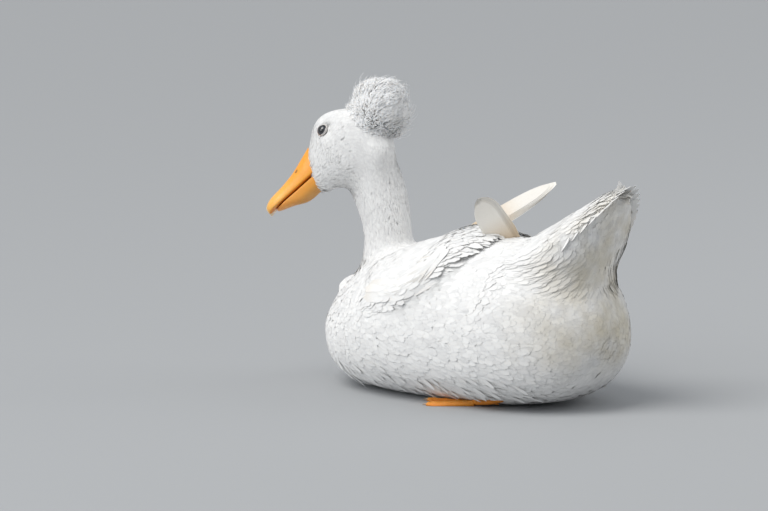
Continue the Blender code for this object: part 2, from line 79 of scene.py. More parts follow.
NECK_HEIGHTS, NECK_BACK = (0.110, 0.150), (-0.090, -0.076)
BODY_COAT, NECK_THINNING, HOLLOW_THINNING = 0.0021, 0.0006, 0.45
HEAD_COAT, FACE_COAT, FACE_PLACES, CREST_COAT = 0.0011, 0.0008, (0.0, 0.030), 0.0005
THIN_PLACES, THIN_HEIGHTS = (0.050, 0.080, 0.120, 0.150), (0.085, 0.110)
ISLAND_ANGLE, ISLAND_MARGIN = math.radians(66.0), 0.004


def node_copy(node):
    """The loose triangles of one solid, joined up, as a bmesh."""
    solid = bmesh.new()
    solid.from_mesh(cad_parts[node].data)
    bmesh.ops.remove_doubles(solid, verts=solid.verts, dist=1e-5)
    solid.normal_update()
    return solid


def new_object(name, mesh):
    """Link a mesh into the scene as an object at the origin."""
    made = bpy.data.objects.new(name, mesh)
    bpy.context.scene.collection.objects.link(made)
    return made


def points_of(mesh):
    """A mesh's points as an array."""
    flat = np.empty(len(mesh.vertices) * 3, dtype=np.float32)
    mesh.vertices.foreach_get("co", flat)
    return flat.reshape(-1, 3).astype(float)


def normals_of(mesh):
    """A mesh's point normals as an array."""
    flat = np.empty(len(mesh.vertices) * 3, dtype=np.float32)
    mesh.vertices.foreach_get("normal", flat)
    return flat.reshape(-1, 3).astype(float)


def set_points(mesh, points):
    """Move a mesh's points."""
    mesh.vertices.foreach_set("co", points.astype(np.float32).ravel())
    mesh.update()


def ramp(value, low, high):
    """Rise smoothly from 0 at low to 1 at high."""
    t = np.clip((value - low) / (high - low), 0.0, 1.0)
    return t * t * (3.0 - 2.0 * t)


def between(value, start, full, fading, gone):
    """Rise smoothly from 0 to 1, stay there, and fall back to 0."""
    return ramp(value, start, full) * (1.0 - ramp(value, fading, gone))


def finished(maker):
    """Turn an object with modifiers into a plain mesh."""
    bpy.context.view_layer.update()
    seen = maker.evaluated_get(bpy.context.evaluated_depsgraph_get())
    mesh = bpy.data.meshes.new_from_object(seen)
    bpy.data.objects.remove(maker)
    return mesh


flesh = bpy.data.meshes.new("flesh")
gathered = bmesh.new()
for node in FLESH:
    solid = node_copy(node)
    for vertex in solid.verts:
        vertex.co = vertex.co + vertex.normal * SWELL
        if node == "crest":
            vertex.co = Vector(CREST_CENTRE) + (vertex.co - Vector(CREST_CENTRE)) * CREST_CUSHION
        if node == "tail":
            reach = vertex.co - TAIL_ROOT
            vertex.co = TAIL_ROOT + Vector([reach[k] * TAIL_FLESH[k] for k in range(3)])
    copied = bpy.data.meshes.new(node + "_flesh")
    solid.to_mesh(copied)
    gathered.from_mesh(copied)
    solid.free()
nape_place = Matrix.Translation(NAPE_FLESH)
bmesh.ops.create_icosphere(gathered, subdivisions=4, radius=NAPE_RADIUS, matrix=nape_place)
gathered.to_mesh(flesh)
gathered.free()
maker = new_object("flesh", flesh)
run_together = maker.modifiers.new("run_together", "REMESH")
run_together.mode = "VOXEL"
run_together.voxel_size = SKIN_VOXEL
skin_mesh = finished(maker)
skin_mesh.name = "skin"

skin_points = points_of(skin_mesh)
edge_ends = np.empty(len(skin_mesh.edges) * 2, dtype=np.int32)
skin_mesh.edges.foreach_get("vertices", edge_ends)
edge_ends = edge_ends.reshape(-1, 2)


def smoothed(values, rounds, share=0.5):
    """Even out values, or points, between neighbours on the skin."""
    count = len(values)
    neighbours = np.bincount(edge_ends.ravel(), minlength=count).astype(float)
    columns = values.reshape(count, -1).copy()
    for _ in range(rounds):
        for k in range(columns.shape[1]):
            total = np.bincount(edge_ends[:, 0], weights=columns[edge_ends[:, 1], k], minlength=count)
            total += np.bincount(edge_ends[:, 1], weights=columns[edge_ends[:, 0], k], minlength=count)
            columns[:, k] += share * (total / neighbours - columns[:, k])
    return columns.reshape(values.shape)


def filled(points, rounds, share):
    """Fill hollows out to the evened surface, by a share for each point, and cut nothing off."""
    outs = normals_of(skin_mesh)
    outward = np.sum((smoothed(points, rounds) - points) * outs, axis=1)
    return points + outs * (np.maximum(outward, 0.0) * share)[:, None]


skin_points = smoothed(skin_points, SKIN_SMOOTHING)
nape = np.linalg.norm(skin_points - NAPE_PLACE, axis=1)
evened = smoothed(skin_points, NAPE_SMOOTHING)
at_nape = 1.0 - np.clip((nape - NAPE_REACH) / NAPE_REACH, 0.0, 1.0)
skin_points = skin_points + (evened - skin_points) * at_nape[:, None]
set_points(skin_mesh, skin_points)
for rounds, start, full, lowest in HOLLOWS:
    share = ramp(skin_points[:, 0], start, full) * ramp(skin_points[:, 2], lowest, lowest + HOLLOW_EDGE)
    share *= 1.0 - ramp(skin_points[:, 2], *NAPE_HEIGHTS) * (skin_points[:, 0] < SHOULDER_PLACE)
    skin_points = smoothed(filled(skin_points, rounds, share), AFTER_FILLING)
    set_points(skin_mesh, skin_points)
for rounds in NAPE_FILLS:
    near = 1.0 - ramp(np.linalg.norm(skin_points - NAPE_HOLLOW, axis=1), *NAPE_FILL_REACH)
    skin_points = filled(skin_points, rounds, near)
    set_points(skin_mesh, skin_points)
evened = smoothed(skin_points, TAIL_SMOOTHING)
at_tail = ramp(skin_points[:, 0], *TAIL_PLACES) * ramp(skin_points[:, 2], *TAIL_HEIGHTS)
skin_points = skin_points + (evened - skin_points) * at_tail[:, None]
far_wing = ramp(skin_points[:, 1], *FAR_WING_SIDES) * ramp(skin_points[:, 2], *FAR_WING_HEIGHTS)
skin_points[:, 2] -= FAR_WING_DROP * far_wing * between(skin_points[:, 0], *FAR_WING_PLACES)
set_points(skin_mesh, skin_points)


def in_head(points):
    """Points in the head's own axes: forward, left and up from its centre."""
    return (points - np.array(HEAD_CENTRE)) @ np.stack([FORWARD, LEFT, CROWN], axis=1)


def regions(points):
    """How far each point belongs to the head, the crest and the neck, from 0 to 1."""
    local = in_head(points)
    head = 1.0 - ramp(np.linalg.norm(local - HEAD_MIDDLE, axis=1), *HEAD_REACH)
    crest = 1.0 - ramp(np.linalg.norm(points - CREST_CENTRE, axis=1), *CREST_REACH)
    crest *= ramp(-local[:, 0], *CREST_BEHIND)
    neck = ramp(points[:, 2], *NECK_HEIGHTS) * (1.0 - ramp(points[:, 0], *NECK_BACK))
    return head, crest, neck


def coat_depth(points):
    """Depth of the plumage: thin on the face, deep on the body."""
    head, crest, neck = regions(points)
    thin = between(points[:, 0], *THIN_PLACES) * ramp(points[:, 2], *THIN_HEIGHTS)
    depth = (BODY_COAT - NECK_THINNING * neck) * (1.0 - HOLLOW_THINNING * thin)
    depth = depth * (1.0 - head) + HEAD_COAT * head
    face = ramp(in_head(points)[:, 0], *FACE_PLACES) * head
    depth = depth * (1.0 - face) + FACE_COAT * face
    return depth * (1.0 - crest) + CREST_COAT * crest


depth = coat_depth(skin_points)
skin_points = skin_points - normals_of(skin_mesh) * (depth + SWELL)[:, None]
skin_points[:, 2] = np.maximum(skin_points[:, 2], BELLY_HEIGHT)
set_points(skin_mesh, skin_points)
skin_mesh.shade_smooth()

skin = new_object("skin", skin_mesh)
bpy.context.view_layer.objects.active = skin
skin.select_set(True)
bpy.ops.object.mode_set(mode="EDIT")
bpy.ops.mesh.select_all(action="SELECT")
bpy.ops.uv.smart_project(angle_limit=ISLAND_ANGLE, island_margin=ISLAND_MARGIN)
bpy.ops.object.mode_set(mode="OBJECT")
skin.select_set(False)


# Plumage finish
# White feathers are clear keratin full of air, so their colour is even and their gloss is low.
# Every feather differs a little, its barbs show as fine slanting streaks, and the undertail is darkened,
# partly by staining and partly by painted shade.
def new_material(name):
    """A material with an empty Principled surface, ready for its own nodes."""
    made = bpy.data.materials.new(name)
    made.use_nodes = True
    return made, made.node_tree.nodes, made.node_tree.links, made.node_tree.nodes["Principled BSDF"]


def add_maths(tree, operation, first, second=None):
    """A Math node on two values, each a socket or a number."""
    node = tree.nodes.new("ShaderNodeMath")
    node.operation = operation
    for slot, value in ((0, first), (1, second)):
        if value is None:
            continue
        if isinstance(value, (int, float)):
            node.inputs[slot].default_value = value
        else:
            tree.links.new(value, node.inputs[slot])
    return node.outputs[0]


def add_ramp(tree, value, low, high):
    """A smooth step of a value, from 0 at low to 1 at high."""
    node = tree.nodes.new("ShaderNodeMapRange")
    node.interpolation_type = "SMOOTHSTEP"
    node.inputs["From Min"].default_value = low
    node.inputs["From Max"].default_value = high
    tree.links.new(value, node.inputs["Value"])
    return node.outputs["Result"]


def add_mix(tree, share, first, second, blend="MIX"):
    """A colour mix by a share, each colour a socket or four numbers."""
    node = tree.nodes.new("ShaderNodeMix")
    node.data_type = "RGBA"
    node.blend_type = blend
    for socket, value in (("Factor_Float", share), ("A_Color", first), ("B_Color", second)):
        target = next(found for found in node.inputs if found.identifier == socket)
        if isinstance(value, (int, float, tuple)):
            target.default_value = value
        else:
            tree.links.new(value, target)
    return next(found for found in node.outputs if found.identifier == "Result_Color")


def add_noise(tree, vector, scale, detail=2.0):
    """A cloudy noise on a place, read as a value from 0 to 1."""
    node = tree.nodes.new("ShaderNodeTexNoise")
    node.inputs["Scale"].default_value = scale
    node.inputs["Detail"].default_value = detail
    tree.links.new(vector, node.inputs["Vector"])
    return node.outputs["Fac"]


def object_place(tree):
    """A place on the model, in metres."""
    return tree.nodes.new("ShaderNodeTexCoord").outputs["Object"]


def read_attribute(tree, name):
    """A number stored on the mesh's points."""
    node = tree.nodes.new("ShaderNodeAttribute")
    node.attribute_name = name
    return node.outputs["Fac"]


def add_relief(tree, surface, height, strength, distance):
    """Fine relief on a surface, from a height."""
    bump = tree.nodes.new("ShaderNodeBump")
    bump.inputs["Strength"].default_value = strength
    bump.inputs["Distance"].default_value = distance
    tree.links.new(height, bump.inputs["Height"])
    tree.links.new(bump.outputs["Normal"], surface.inputs["Normal"])


def set_values(surface, values):
    """Set several of a surface's own values by name."""
    for name, value in values.items():
        surface.inputs[name].default_value = value


# The undertail's olive darkening is partly staining and partly painted shade, laid on the underside of the
# rear.
STAIN_AND_SHADE_PLACES, STAIN_AND_SHADE_SLOPE, STAIN_AND_SHADE_UNDER, STAIN_AND_SHADE_HEIGHTS = (0.085, 0.185), 0.62, (0.125, 0.065), (0.020, 0.075)
PATCH_SCALE, PATCH_DETAIL, PATCH_STEP = 26.0, 3.0, (0.25, 0.75)
DIM_WHITE, BARB_WHITE = (0.62, 0.62, 0.64, 1.0), (0.80, 0.79, 0.77, 1.0)
BARBS_ACROSS, BARBS_ALONG, BARB_STEP, BARB_DIMMING = 22.0, 2.0, (0.3, 0.7), 0.10


def plumage_group():
    """Colour and fine relief of feathers, for every material that has them."""
    tree = bpy.data.node_groups.new("plumage_tint", "ShaderNodeTree")
    tree.interface.new_socket("Feather", in_out="INPUT", socket_type="NodeSocketColor")
    tree.interface.new_socket("Stain and Shade", in_out="INPUT", socket_type="NodeSocketColor")
    tree.interface.new_socket("Unevenness", in_out="INPUT", socket_type="NodeSocketFloat")
    tree.interface.new_socket("Color", in_out="OUTPUT", socket_type="NodeSocketColor")
    tree.interface.new_socket("Height", in_out="OUTPUT", socket_type="NodeSocketFloat")
    given = tree.nodes.new("NodeGroupInput")
    result = tree.nodes.new("NodeGroupOutput")
    place = object_place(tree)
    axes = tree.nodes.new("ShaderNodeSeparateXYZ")
    tree.links.new(place, axes.inputs[0])
    # Mask for the undertail's staining and painted shade: towards the rear, below a sloping line, above the
    # lowest part, in patches.
    rear = add_ramp(tree, axes.outputs["X"], *STAIN_AND_SHADE_PLACES)
    sloping = add_maths(tree, "MULTIPLY", axes.outputs["X"], STAIN_AND_SHADE_SLOPE)
    under = add_ramp(tree, add_maths(tree, "SUBTRACT", axes.outputs["Z"], sloping), *STAIN_AND_SHADE_UNDER)
    low = add_ramp(tree, axes.outputs["Z"], *STAIN_AND_SHADE_HEIGHTS)
    patches = add_noise(tree, place, PATCH_SCALE, PATCH_DETAIL)
    stain_and_shade_mask = add_maths(tree, "MULTIPLY", add_maths(tree, "MULTIPLY", rear, under), low)
    stain_and_shade_mask = add_maths(tree, "MULTIPLY", stain_and_shade_mask, add_ramp(tree, patches, *PATCH_STEP))
    colour = add_mix(tree, stain_and_shade_mask, given.outputs["Feather"], given.outputs["Stain and Shade"])

    dimming = add_maths(tree, "MULTIPLY", read_attribute(tree, "shade"), given.outputs["Unevenness"])
    colour = add_mix(tree, dimming, colour, DIM_WHITE, "MULTIPLY")

    barbs = tree.nodes.new("ShaderNodeUVMap")
    barbs.uv_map = "barbs"
    apart = tree.nodes.new("ShaderNodeSeparateXYZ")
    tree.links.new(barbs.outputs["UV"], apart.inputs[0])
    out_from_shaft = add_maths(tree, "ABSOLUTE", apart.outputs["X"])
    slanted = add_maths(tree, "SUBTRACT", apart.outputs["Y"], out_from_shaft)
    streak = tree.nodes.new("ShaderNodeCombineXYZ")
    tree.links.new(add_maths(tree, "MULTIPLY", slanted, BARBS_ACROSS), streak.inputs[0])
    tree.links.new(add_maths(tree, "MULTIPLY", out_from_shaft, BARBS_ALONG), streak.inputs[1])
    fine = add_ramp(tree, add_noise(tree, streak.outputs[0], 1.0), *BARB_STEP)
    colour = add_mix(tree, add_maths(tree, "MULTIPLY", fine, BARB_DIMMING), colour, BARB_WHITE, "MULTIPLY")
    tree.links.new(colour, result.inputs["Color"])
    tree.links.new(fine, result.inputs["Height"])
    return tree


plumage_tint = plumage_group()
WHITE_FEATHER = (0.87, 0.865, 0.85)
# Olive-tan of the undertail: partly staining, partly painted shade.
UNDERTAIL_STAIN_AND_SHADE = (0.64, 0.58, 0.45)
FEATHER_SURFACE = {
    "Specular IOR Level": 0.25,
    "Subsurface Radius": (0.0022, 0.0021, 0.0020),
    "Sheen Weight": 0.12,
    "Sheen Roughness": 0.5,
}
BARB_RELIEF = 0.0002


def feather_material(name, feather, stain_and_shade, unevenness, roughness, relief, light_through=0.30):
    """A feather finish from the shared tint group, with its own colours."""
    made, nodes, links, surface = new_material(name)
    tint = nodes.new("ShaderNodeGroup")
    tint.node_tree = plumage_tint
    tint.inputs["Feather"].default_value = (*feather, 1.0)
    tint.inputs["Stain and Shade"].default_value = (*stain_and_shade, 1.0)
    tint.inputs["Unevenness"].default_value = unevenness
    links.new(tint.outputs["Color"], surface.inputs["Base Color"])
    set_values(surface, {"Roughness": roughness, "Subsurface Weight": light_through, **FEATHER_SURFACE})
    add_relief(made.node_tree, surface, tint.outputs["Height"], relief, BARB_RELIEF)
    return made


white_plumage = feather_material(
    "white_plumage", WHITE_FEATHER, UNDERTAIL_STAIN_AND_SHADE, unevenness=0.35, roughness=0.72, relief=0.35
)

def place_piece(piece, material, slot, *replaced):
    """Finish a piece: its material, the body that it rides on and the nodes that it replaces; the slot is
    not used.
    """
    piece.data.materials.clear()
    piece.data.materials.append(material)
    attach(piece, "root")
    if replaced:
        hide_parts(*replaced)


skin_mesh.uv_layers.active.name = "OFBake"
place_piece(skin, white_plumage, "body_feather", *FLESH)


# Small feathers
# The body's contour feathers and the fine, hair-like ones of the head and neck cover the whole skin.
# Each is a thin closed leaf of its own, rooted in the skin, and overlaps the next like a roof's shingles.
PATCH = 0.003
CROWDING, THINNING = 5.0, 1.3
PROBE = 0.6
HOLLOW_SHARE = 0.38
STEEPEST_FALL, STEEPEST_RISE = 0.60, 0.12
RISE = (3.40, -3.62, 1.32)
ROOT_DEPTH, BEND = 0.1, 0.06
LONGER, BROADER, DEEPER = (0.8, 1.15), (0.85, 1.15), (-0.4, 0.4)
FLOOR_CLEARANCE = 0.0004
BARB_MAP_SCALE = 100.0
TIP_ROW_FRAY = 0.35
WING_EDGE_HEIGHTS = (0.096, 0.100, 0.110, 0.129, 0.144, 0.1575, 0.1615)
WING_EDGE_PLACES = (-0.090, -0.052, -0.003, 0.024, 0.0305, 0.034, 0.036)
WING_EDGE_STEEPNESS, WING_FRONT = 1.3, -0.100
WING_SLOPE, WING_BORDER = 0.62, (-0.004, 0.012)
BODY_SLOPE, SLOPE_BY_HEIGHT, SLOPE_BY_PLACE = -0.95, 1.25, 0.55
SLOPE_HEIGHTS, SLOPE_PLACES = (0.012, 0.115), (0.060, 0.150)
FRONT_WAY, FRONT_PLACES, FRONT_HEIGHTS, FRONT_EASING = (0.35, 0.0, -1.0), (-0.160, -0.085), (0.10, 0.14), 0.4
NECK_WAY, NAPE_WAY, HEAD_DROP, HEAD_BACK = (0.05, 0.0, -1.0), (0.15, 0.0, -1.1), 0.8, (-0.010, 0.060)
TAIL_WAY = (0.813, 0.582)
TAIL_END_SIDES = (0.006, 0.0312, 0.053)
TAIL_END_PLACES = (0.290, 0.266, 0.229)
TAIL_END_ROOM, TAIL_END_SHORTEST = 0.030, 0.16
TAIL_END_BARE = 0.50

skin_mesh.calc_loop_triangles()
corner_points = np.empty(len(skin_mesh.loop_triangles) * 3, dtype=np.int32)
skin_mesh.loop_triangles.foreach_get("vertices", corner_points)
corner_points = corner_points.reshape(-1, 3)
corner_loops = np.empty(len(skin_mesh.loop_triangles) * 3, dtype=np.int32)
skin_mesh.loop_triangles.foreach_get("loops", corner_loops)
corner_loops = corner_loops.reshape(-1, 3)
unwrapped = np.empty(len(skin_mesh.loops) * 2, dtype=np.float32)
skin_mesh.uv_layers["OFBake"].data.foreach_get("uv", unwrapped)
unwrapped = unwrapped.reshape(-1, 2)
skin_points = points_of(skin_mesh)
skin_normals = smoothed(normals_of(skin_mesh), 8)
skin_normals /= np.linalg.norm(skin_normals, axis=1)[:, None]
edges_out = skin_points[corner_points[:, 1:]] - skin_points[corner_points[:, :1]]
patch_areas = 0.5 * np.linalg.norm(np.cross(edges_out[:, 0], edges_out[:, 1]), axis=1)
patch_centres = skin_points[corner_points].mean(axis=1)
patch_normals = skin_normals[corner_points].mean(axis=1)
skin_tree = BVHTree.FromPolygons(skin_points.tolist(), [face.vertices[:] for face in skin_mesh.polygons])


def unit(vectors):
    """Vectors brought to length one."""
    return vectors / np.maximum(np.linalg.norm(vectors, axis=-1, keepdims=True), 1e-9)


def along_skin(vectors, normals):
    """Vectors turned into the skin's surface, at length one."""
    return unit(vectors - normals * np.sum(vectors * normals, axis=1)[:, None])


def blended(first, second, share):
    """Vectors between two, by a share for each point."""
    return first * (1.0 - share)[:, None] + second * share[:, None]


def wing_inside(points):
    """How far a point lies inside the free edge of the folded wings, and below zero outside them."""
    edge_x = np.interp(points[:, 2], WING_EDGE_HEIGHTS, WING_EDGE_PLACES)
    edge_z = np.interp(points[:, 0], WING_EDGE_PLACES, WING_EDGE_HEIGHTS)
    inside = np.minimum(edge_x - points[:, 0], WING_EDGE_STEEPNESS * (points[:, 2] - edge_z))
    return np.minimum(inside, points[:, 0] - WING_FRONT)


def feather_lie(points, normals):
    """The way the feathers point: back from the bill, down the neck and towards the tail."""
    local = in_head(points)
    head, _, neck = regions(points)
    height = ramp(points[:, 2], *SLOPE_HEIGHTS)
    slope = BODY_SLOPE + SLOPE_BY_HEIGHT * height + SLOPE_BY_PLACE * ramp(points[:, 0], *SLOPE_PLACES)
    on_wing = ramp(wing_inside(points), *WING_BORDER)
    slope = slope * (1.0 - on_wing) + WING_SLOPE * on_wing
    body = np.stack([np.ones(len(points)), np.zeros(len(points)), slope], axis=1)
    to_front = 1.0 - ramp(points[:, 0], *FRONT_PLACES)
    to_front *= 1.0 - FRONT_EASING * ramp(points[:, 2], *FRONT_HEIGHTS)
    flow = blended(unit(body), np.array([FRONT_WAY]), to_front)
    flow = blended(flow, np.array([NECK_WAY]), neck)
    turning = ramp(-local[:, 0] - HEAD_DROP * local[:, 2], *HEAD_BACK)
    over_head = blended(-FORWARD[None, :] * np.ones((len(points), 1)), np.array([NAPE_WAY]), turning)
    flow = blended(flow, over_head, head)
    return along_skin(flow, normals)


def scatter(weigh, spacing, seed):
    """Spread roots over the skin where a weight asks for them, none closer than the spacing."""
    chance = np.random.default_rng(seed)
    share = patch_areas * np.clip(weigh(patch_centres, patch_normals), 0.0, 1.0)
    wanted = int(CROWDING * share.sum() / spacing**2)
    picked = chance.choice(len(share), wanted, p=share / share.sum())
    first, second = np.sqrt(chance.random(wanted)), chance.random(wanted)
    mixing = np.stack([1.0 - first, first * (1.0 - second), first * second], axis=1)[:, :, None]
    places = (skin_points[corner_points[picked]] * mixing).sum(axis=1)
    cells = np.floor(places / spacing).astype(int)
    taken = {}
    kept = []
    least = spacing * spacing
    around = [(i, j, k) for i in (-1, 0, 1) for j in (-1, 0, 1) for k in (-1, 0, 1)]
    for index, (place, cell) in enumerate(zip(places.tolist(), cells.tolist())):
        free = True
        for step in around:
            for other in taken.get((cell[0] + step[0], cell[1] + step[1], cell[2] + step[2]), ()):
                gap = (place[0] - other[0]) ** 2 + (place[1] - other[1]) ** 2 + (place[2] - other[2]) ** 2
                if gap < least:
                    free = False
                    break
            if not free:
                break
        if free:
            taken.setdefault(tuple(cell), []).append(place)
            kept.append(index)
    kept = np.array(kept)
    normals = unit((skin_normals[corner_points[picked[kept]]] * mixing[kept]).sum(axis=1))
    thin = chance.random(len(kept)) < np.clip(weigh(places[kept], normals) * THINNING, 0.0, 1.0)
    kept, normals = kept[thin], normals[thin]
    patches = (unwrapped[corner_loops[picked[kept]]] * mixing[kept]).sum(axis=1)
    return {"place": places[kept], "normal": normals, "patch": patches, "chance": chance}


def leaf_form(rows, columns, fray, rounded):
    """A closed leaf from its root to a rounded, frayed tip, from rows of distance along and half width."""
    along, across, height, frayed, faces = [0.0], [0.0], [0.0], [0.0], []
    grid = []
    for number, (distance, half_width) in enumerate(rows):
        grid.append([])
        for column in range(columns + 1):
            v = -1.0 + 2.0 * column / columns
            grid[-1].append(len(along))
            along.append(distance - rounded * v * v * (number == len(rows) - 1))
            across.append(v * half_width)
            height.append(1.0 - v * v)
            frayed.append((TIP_ROW_FRAY if number == len(rows) - 2 else 1.0) * (number >= len(rows) - 2))
    for column in range(columns):
        faces.append((0, grid[0][column], grid[0][column + 1]))
    faces.append((0, grid[0][-1], grid[0][0]))
    for row, following in zip(grid, grid[1:]):
        for column in range(columns):
            faces.append((row[column], following[column], following[column + 1], row[column + 1]))
    for row, following in zip(grid[:-2], grid[1:-1]):
        faces.append((row[0], row[-1], following[-1], following[0]))
    faces.append((grid[-2][0], grid[-2][-1], *reversed(grid[-1])))
    return {
        "along": np.array(along),
        "across": np.array(across),
        "height": np.array(height),
        "fray": np.array(frayed) * fray,
        "faces": faces,
        "facing": [
            float(number < columns or columns < number <= columns * len(rows))
            for number in range(len(faces))
        ],
    }


def store_values(mesh, name, values):
    """Store a number on each of a mesh's points, for a material to read."""
    layer = mesh.attributes.new(name, "FLOAT", "POINT")
    layer.data.foreach_set("value", np.asarray(values, dtype=np.float32))


def soften(mesh, form, loops, face, normals, softness):
    """Turn the upper sides' shading towards the skin's, as light spreads through fine barbs."""
    mixed = unit(face * (1.0 - softness) + normals[:, None, :] * softness)
    facing = np.concatenate([np.full(len(face), way) for face, way in zip(form["faces"], form["facing"])])
    corners = mixed[:, loops, :] * facing[None, :, None]
    mesh.normals_split_custom_set(corners.reshape(-1, 3).tolist())


def joined_feathers(name, form, roots, spine, side, width, thickness, wrap, material, slot, *replaced,
                    softness=0.8):
    """Many copies of one form, each swept along its own spine, joined in one mesh."""
    count, size = len(roots["place"]), len(form["along"])
    chance = roots["chance"]
    u = form["along"][None, :] + form["fray"][None, :] * chance.uniform(-1.0, 1.0, (count, size))
    u = u[:, :, None]
    first, second, third = (part[:, None, :] for part in spine)
    centre = roots["place"][:, None, :] + first * u + second * u**2 + third * u**3
    way = first + 2.0 * second * u + 3.0 * third * u**2
    face = unit(np.cross(way, side[:, None, :] * np.ones_like(way)))
    across = form["across"][None, :, None] * (0.5 * width)[:, None, None]
    points = centre + side[:, None, :] * across
    points += face * (form["height"][None, :] * thickness[:, None])[:, :, None]
    lowered = (form["across"][None, :] ** 2) * wrap[:, None]
    points += roots["normal"][:, None, :] * lowered[:, :, None]
    points[:, :, 2] = np.maximum(points[:, :, 2], FLOOR_CLEARANCE)

    loops = np.concatenate([np.array(face) for face in form["faces"]])
    sizes = np.array([len(face) for face in form["faces"]])
    starts = np.concatenate([[0], np.cumsum(sizes)[:-1]])
    copies = np.arange(count)[:, None]
    mesh = bpy.data.meshes.new(name)
    mesh.vertices.add(count * size)
    mesh.vertices.foreach_set("co", points.astype(np.float32).ravel())
    all_loops = (loops[None, :] + copies * size).ravel()
    mesh.loops.add(len(all_loops))
    mesh.loops.foreach_set("vertex_index", all_loops.astype(np.int32))
    all_starts = (starts[None, :] + copies * len(loops)).ravel()
    mesh.polygons.add(len(all_starts))
    mesh.polygons.foreach_set("loop_start", all_starts.astype(np.int32))
    mesh.update(calc_edges=True)
    mesh.polygons.foreach_set("use_smooth", np.tile(np.array(form["facing"]) != 0.0, count))

    soften(mesh, form, loops, face, roots["normal"], softness)

    length = np.linalg.norm(spine[0] + spine[1] + spine[2], axis=1)
    leaf = np.stack([form["across"] * 0.5, form["along"] - 0.5], axis=1) * PATCH
    patches = np.clip(roots["patch"][:, None, :] + leaf[None, :, :], 0.001, 0.999)
    barbs = np.stack([across[:, :, 0], u[:, :, 0] * length[:, None]], axis=2) * BARB_MAP_SCALE
    for layer, values in (("OFBake", patches), ("barbs", barbs)):
        map_data = mesh.uv_layers.new(name=layer).data
        corners = values.reshape(-1, 2)[all_loops]
        map_data.foreach_set("uv", corners.astype(np.float32).ravel())
    store_values(mesh, "shade", np.repeat(chance.random(count), size))
    piece = new_object(name, mesh)
    place_piece(piece, material, slot, *replaced)
    return piece


def drop_ahead(roots, ways, reach):
    """How far the skin falls away below a root's own level, at a reach in some direction."""
    ahead = roots["place"] + ways * reach[:, None]
    found = np.array([skin_tree.find_nearest(Vector(point))[0] for point in ahead.tolist()])
    return np.sum((found - roots["place"]) * roots["normal"], axis=1)


def tail_room(points):
    """Shorten the feathers near the end of the tail, so that they don't reach past it."""
    along = points[:, 0] * TAIL_WAY[0] + points[:, 2] * TAIL_WAY[1]
    end = np.interp(np.abs(points[:, 1]), TAIL_END_SIDES, TAIL_END_PLACES)
    return np.clip((end - along) / TAIL_END_ROOM, TAIL_END_SHORTEST, 1.0)


def lay_feathers(name, weigh, form, seed, spacing, length, breadth, thickness, jitter, standing=0.0):
    """Cover a region with small feathers that lie along it, turned at random by the jitter in degrees."""
    roots = scatter(weigh, spacing, seed)
    chance = roots["chance"]
    count = len(roots["place"])
    normals = roots["normal"]
    lie = feather_lie(roots["place"], normals)
    side = np.cross(normals, lie)
    turn = np.radians(chance.normal(0.0, jitter, count))[:, None]
    lie, side = lie * np.cos(turn) + side * np.sin(turn), side * np.cos(turn) - lie * np.sin(turn)
    long = length * chance.uniform(*LONGER, count) * tail_room(roots["place"])
    wide = breadth * chance.uniform(*BROADER, count)
    depth = coat_depth(roots["place"]) + thickness * chance.uniform(*DEEPER, count)
    fall = drop_ahead(roots, lie, long * PROBE) / PROBE**2
    fall = np.where(fall > 0.0, fall * HOLLOW_SHARE, fall)
    fall = np.clip(fall, -STEEPEST_FALL * long, STEEPEST_RISE * long)
    left_fall = drop_ahead(roots, side, wide * 0.5)
    right_fall = drop_ahead(roots, -side, wide * 0.5)
    bend = chance.normal(0.0, BEND, count) * long
    lifted = standing * chance.random(count) ** 2 * long
    first = lie * long[:, None] + normals * (RISE[0] * depth)[:, None]
    second = normals * (fall + RISE[1] * depth + lifted)[:, None] + side * bend[:, None]
    third = normals * (RISE[2] * depth)[:, None]
    wrap = 0.5 * (left_fall + right_fall)
    roots["place"] = roots["place"] - normals * (ROOT_DEPTH * depth)[:, None]
    thick = np.full(count, thickness)
    return joined_feathers(
        name, form, roots, (first, second, third), side, wide, thick, wrap, white_plumage, "body_feather"
    )


BODY_LEAF = leaf_form(
    ((0.18, 0.45), (0.42, 0.88), (0.66, 1.0), (0.86, 0.86), (1.0, 0.52)),
    columns=6, fray=0.030, rounded=0.070,
)
HAIR_LEAF = leaf_form(
    ((0.20, 0.70), (0.50, 1.0), (0.80, 0.72), (1.0, 0.28)), columns=2, fray=0.03, rounded=0.0
)
FACE_BORDER, BREAST_BORDER = (-0.006, 0.016), (-0.105, -0.060)
TAIL_START, TAIL_RISE, TAIL_UNDERSIDE = (0.080, 0.100), 0.20, (0.095, 0.118)
FRINGE_HEIGHTS, FRINGE_PLACES = (0.012, 0.018, 0.034, 0.046), (-0.150, -0.110, 0.080, 0.120)
COVERT_BORDER, COVERT_START = (0.016, 0.021), (-0.080, -0.050)
FACING_UP, FACING_DOWN, BELLY_HEIGHTS = (0.25, 0.55), (0.55, 0.80), (0.02, 0.05)


def face_weight(points, normals):
    """The front of the head, around the eyes and up to the bill."""
    return regions(points)[0] * ramp(in_head(points)[:, 0], *FACE_BORDER)


def crown_weight(points, normals):
    """The rest of the head, outside the crest."""
    head, crest, _ = regions(points)
    return head * (1.0 - face_weight(points, normals)) * (1.0 - crest)


def neck_weight(points, normals):
    """The neck, down to the shoulders and breast."""
    head, crest, neck = regions(points)
    return neck * (1.0 - head) * (1.0 - crest)


def breast_weight(side):
    """One half of the front of the trunk, below the neck."""
    def weigh(points, normals):
        head, _, neck = regions(points)
        front = (1.0 - neck) * (1.0 - head) * (1.0 - ramp(points[:, 0], *BREAST_BORDER))
        return front * (points[:, 1] * side >= 0.0)
    return weigh


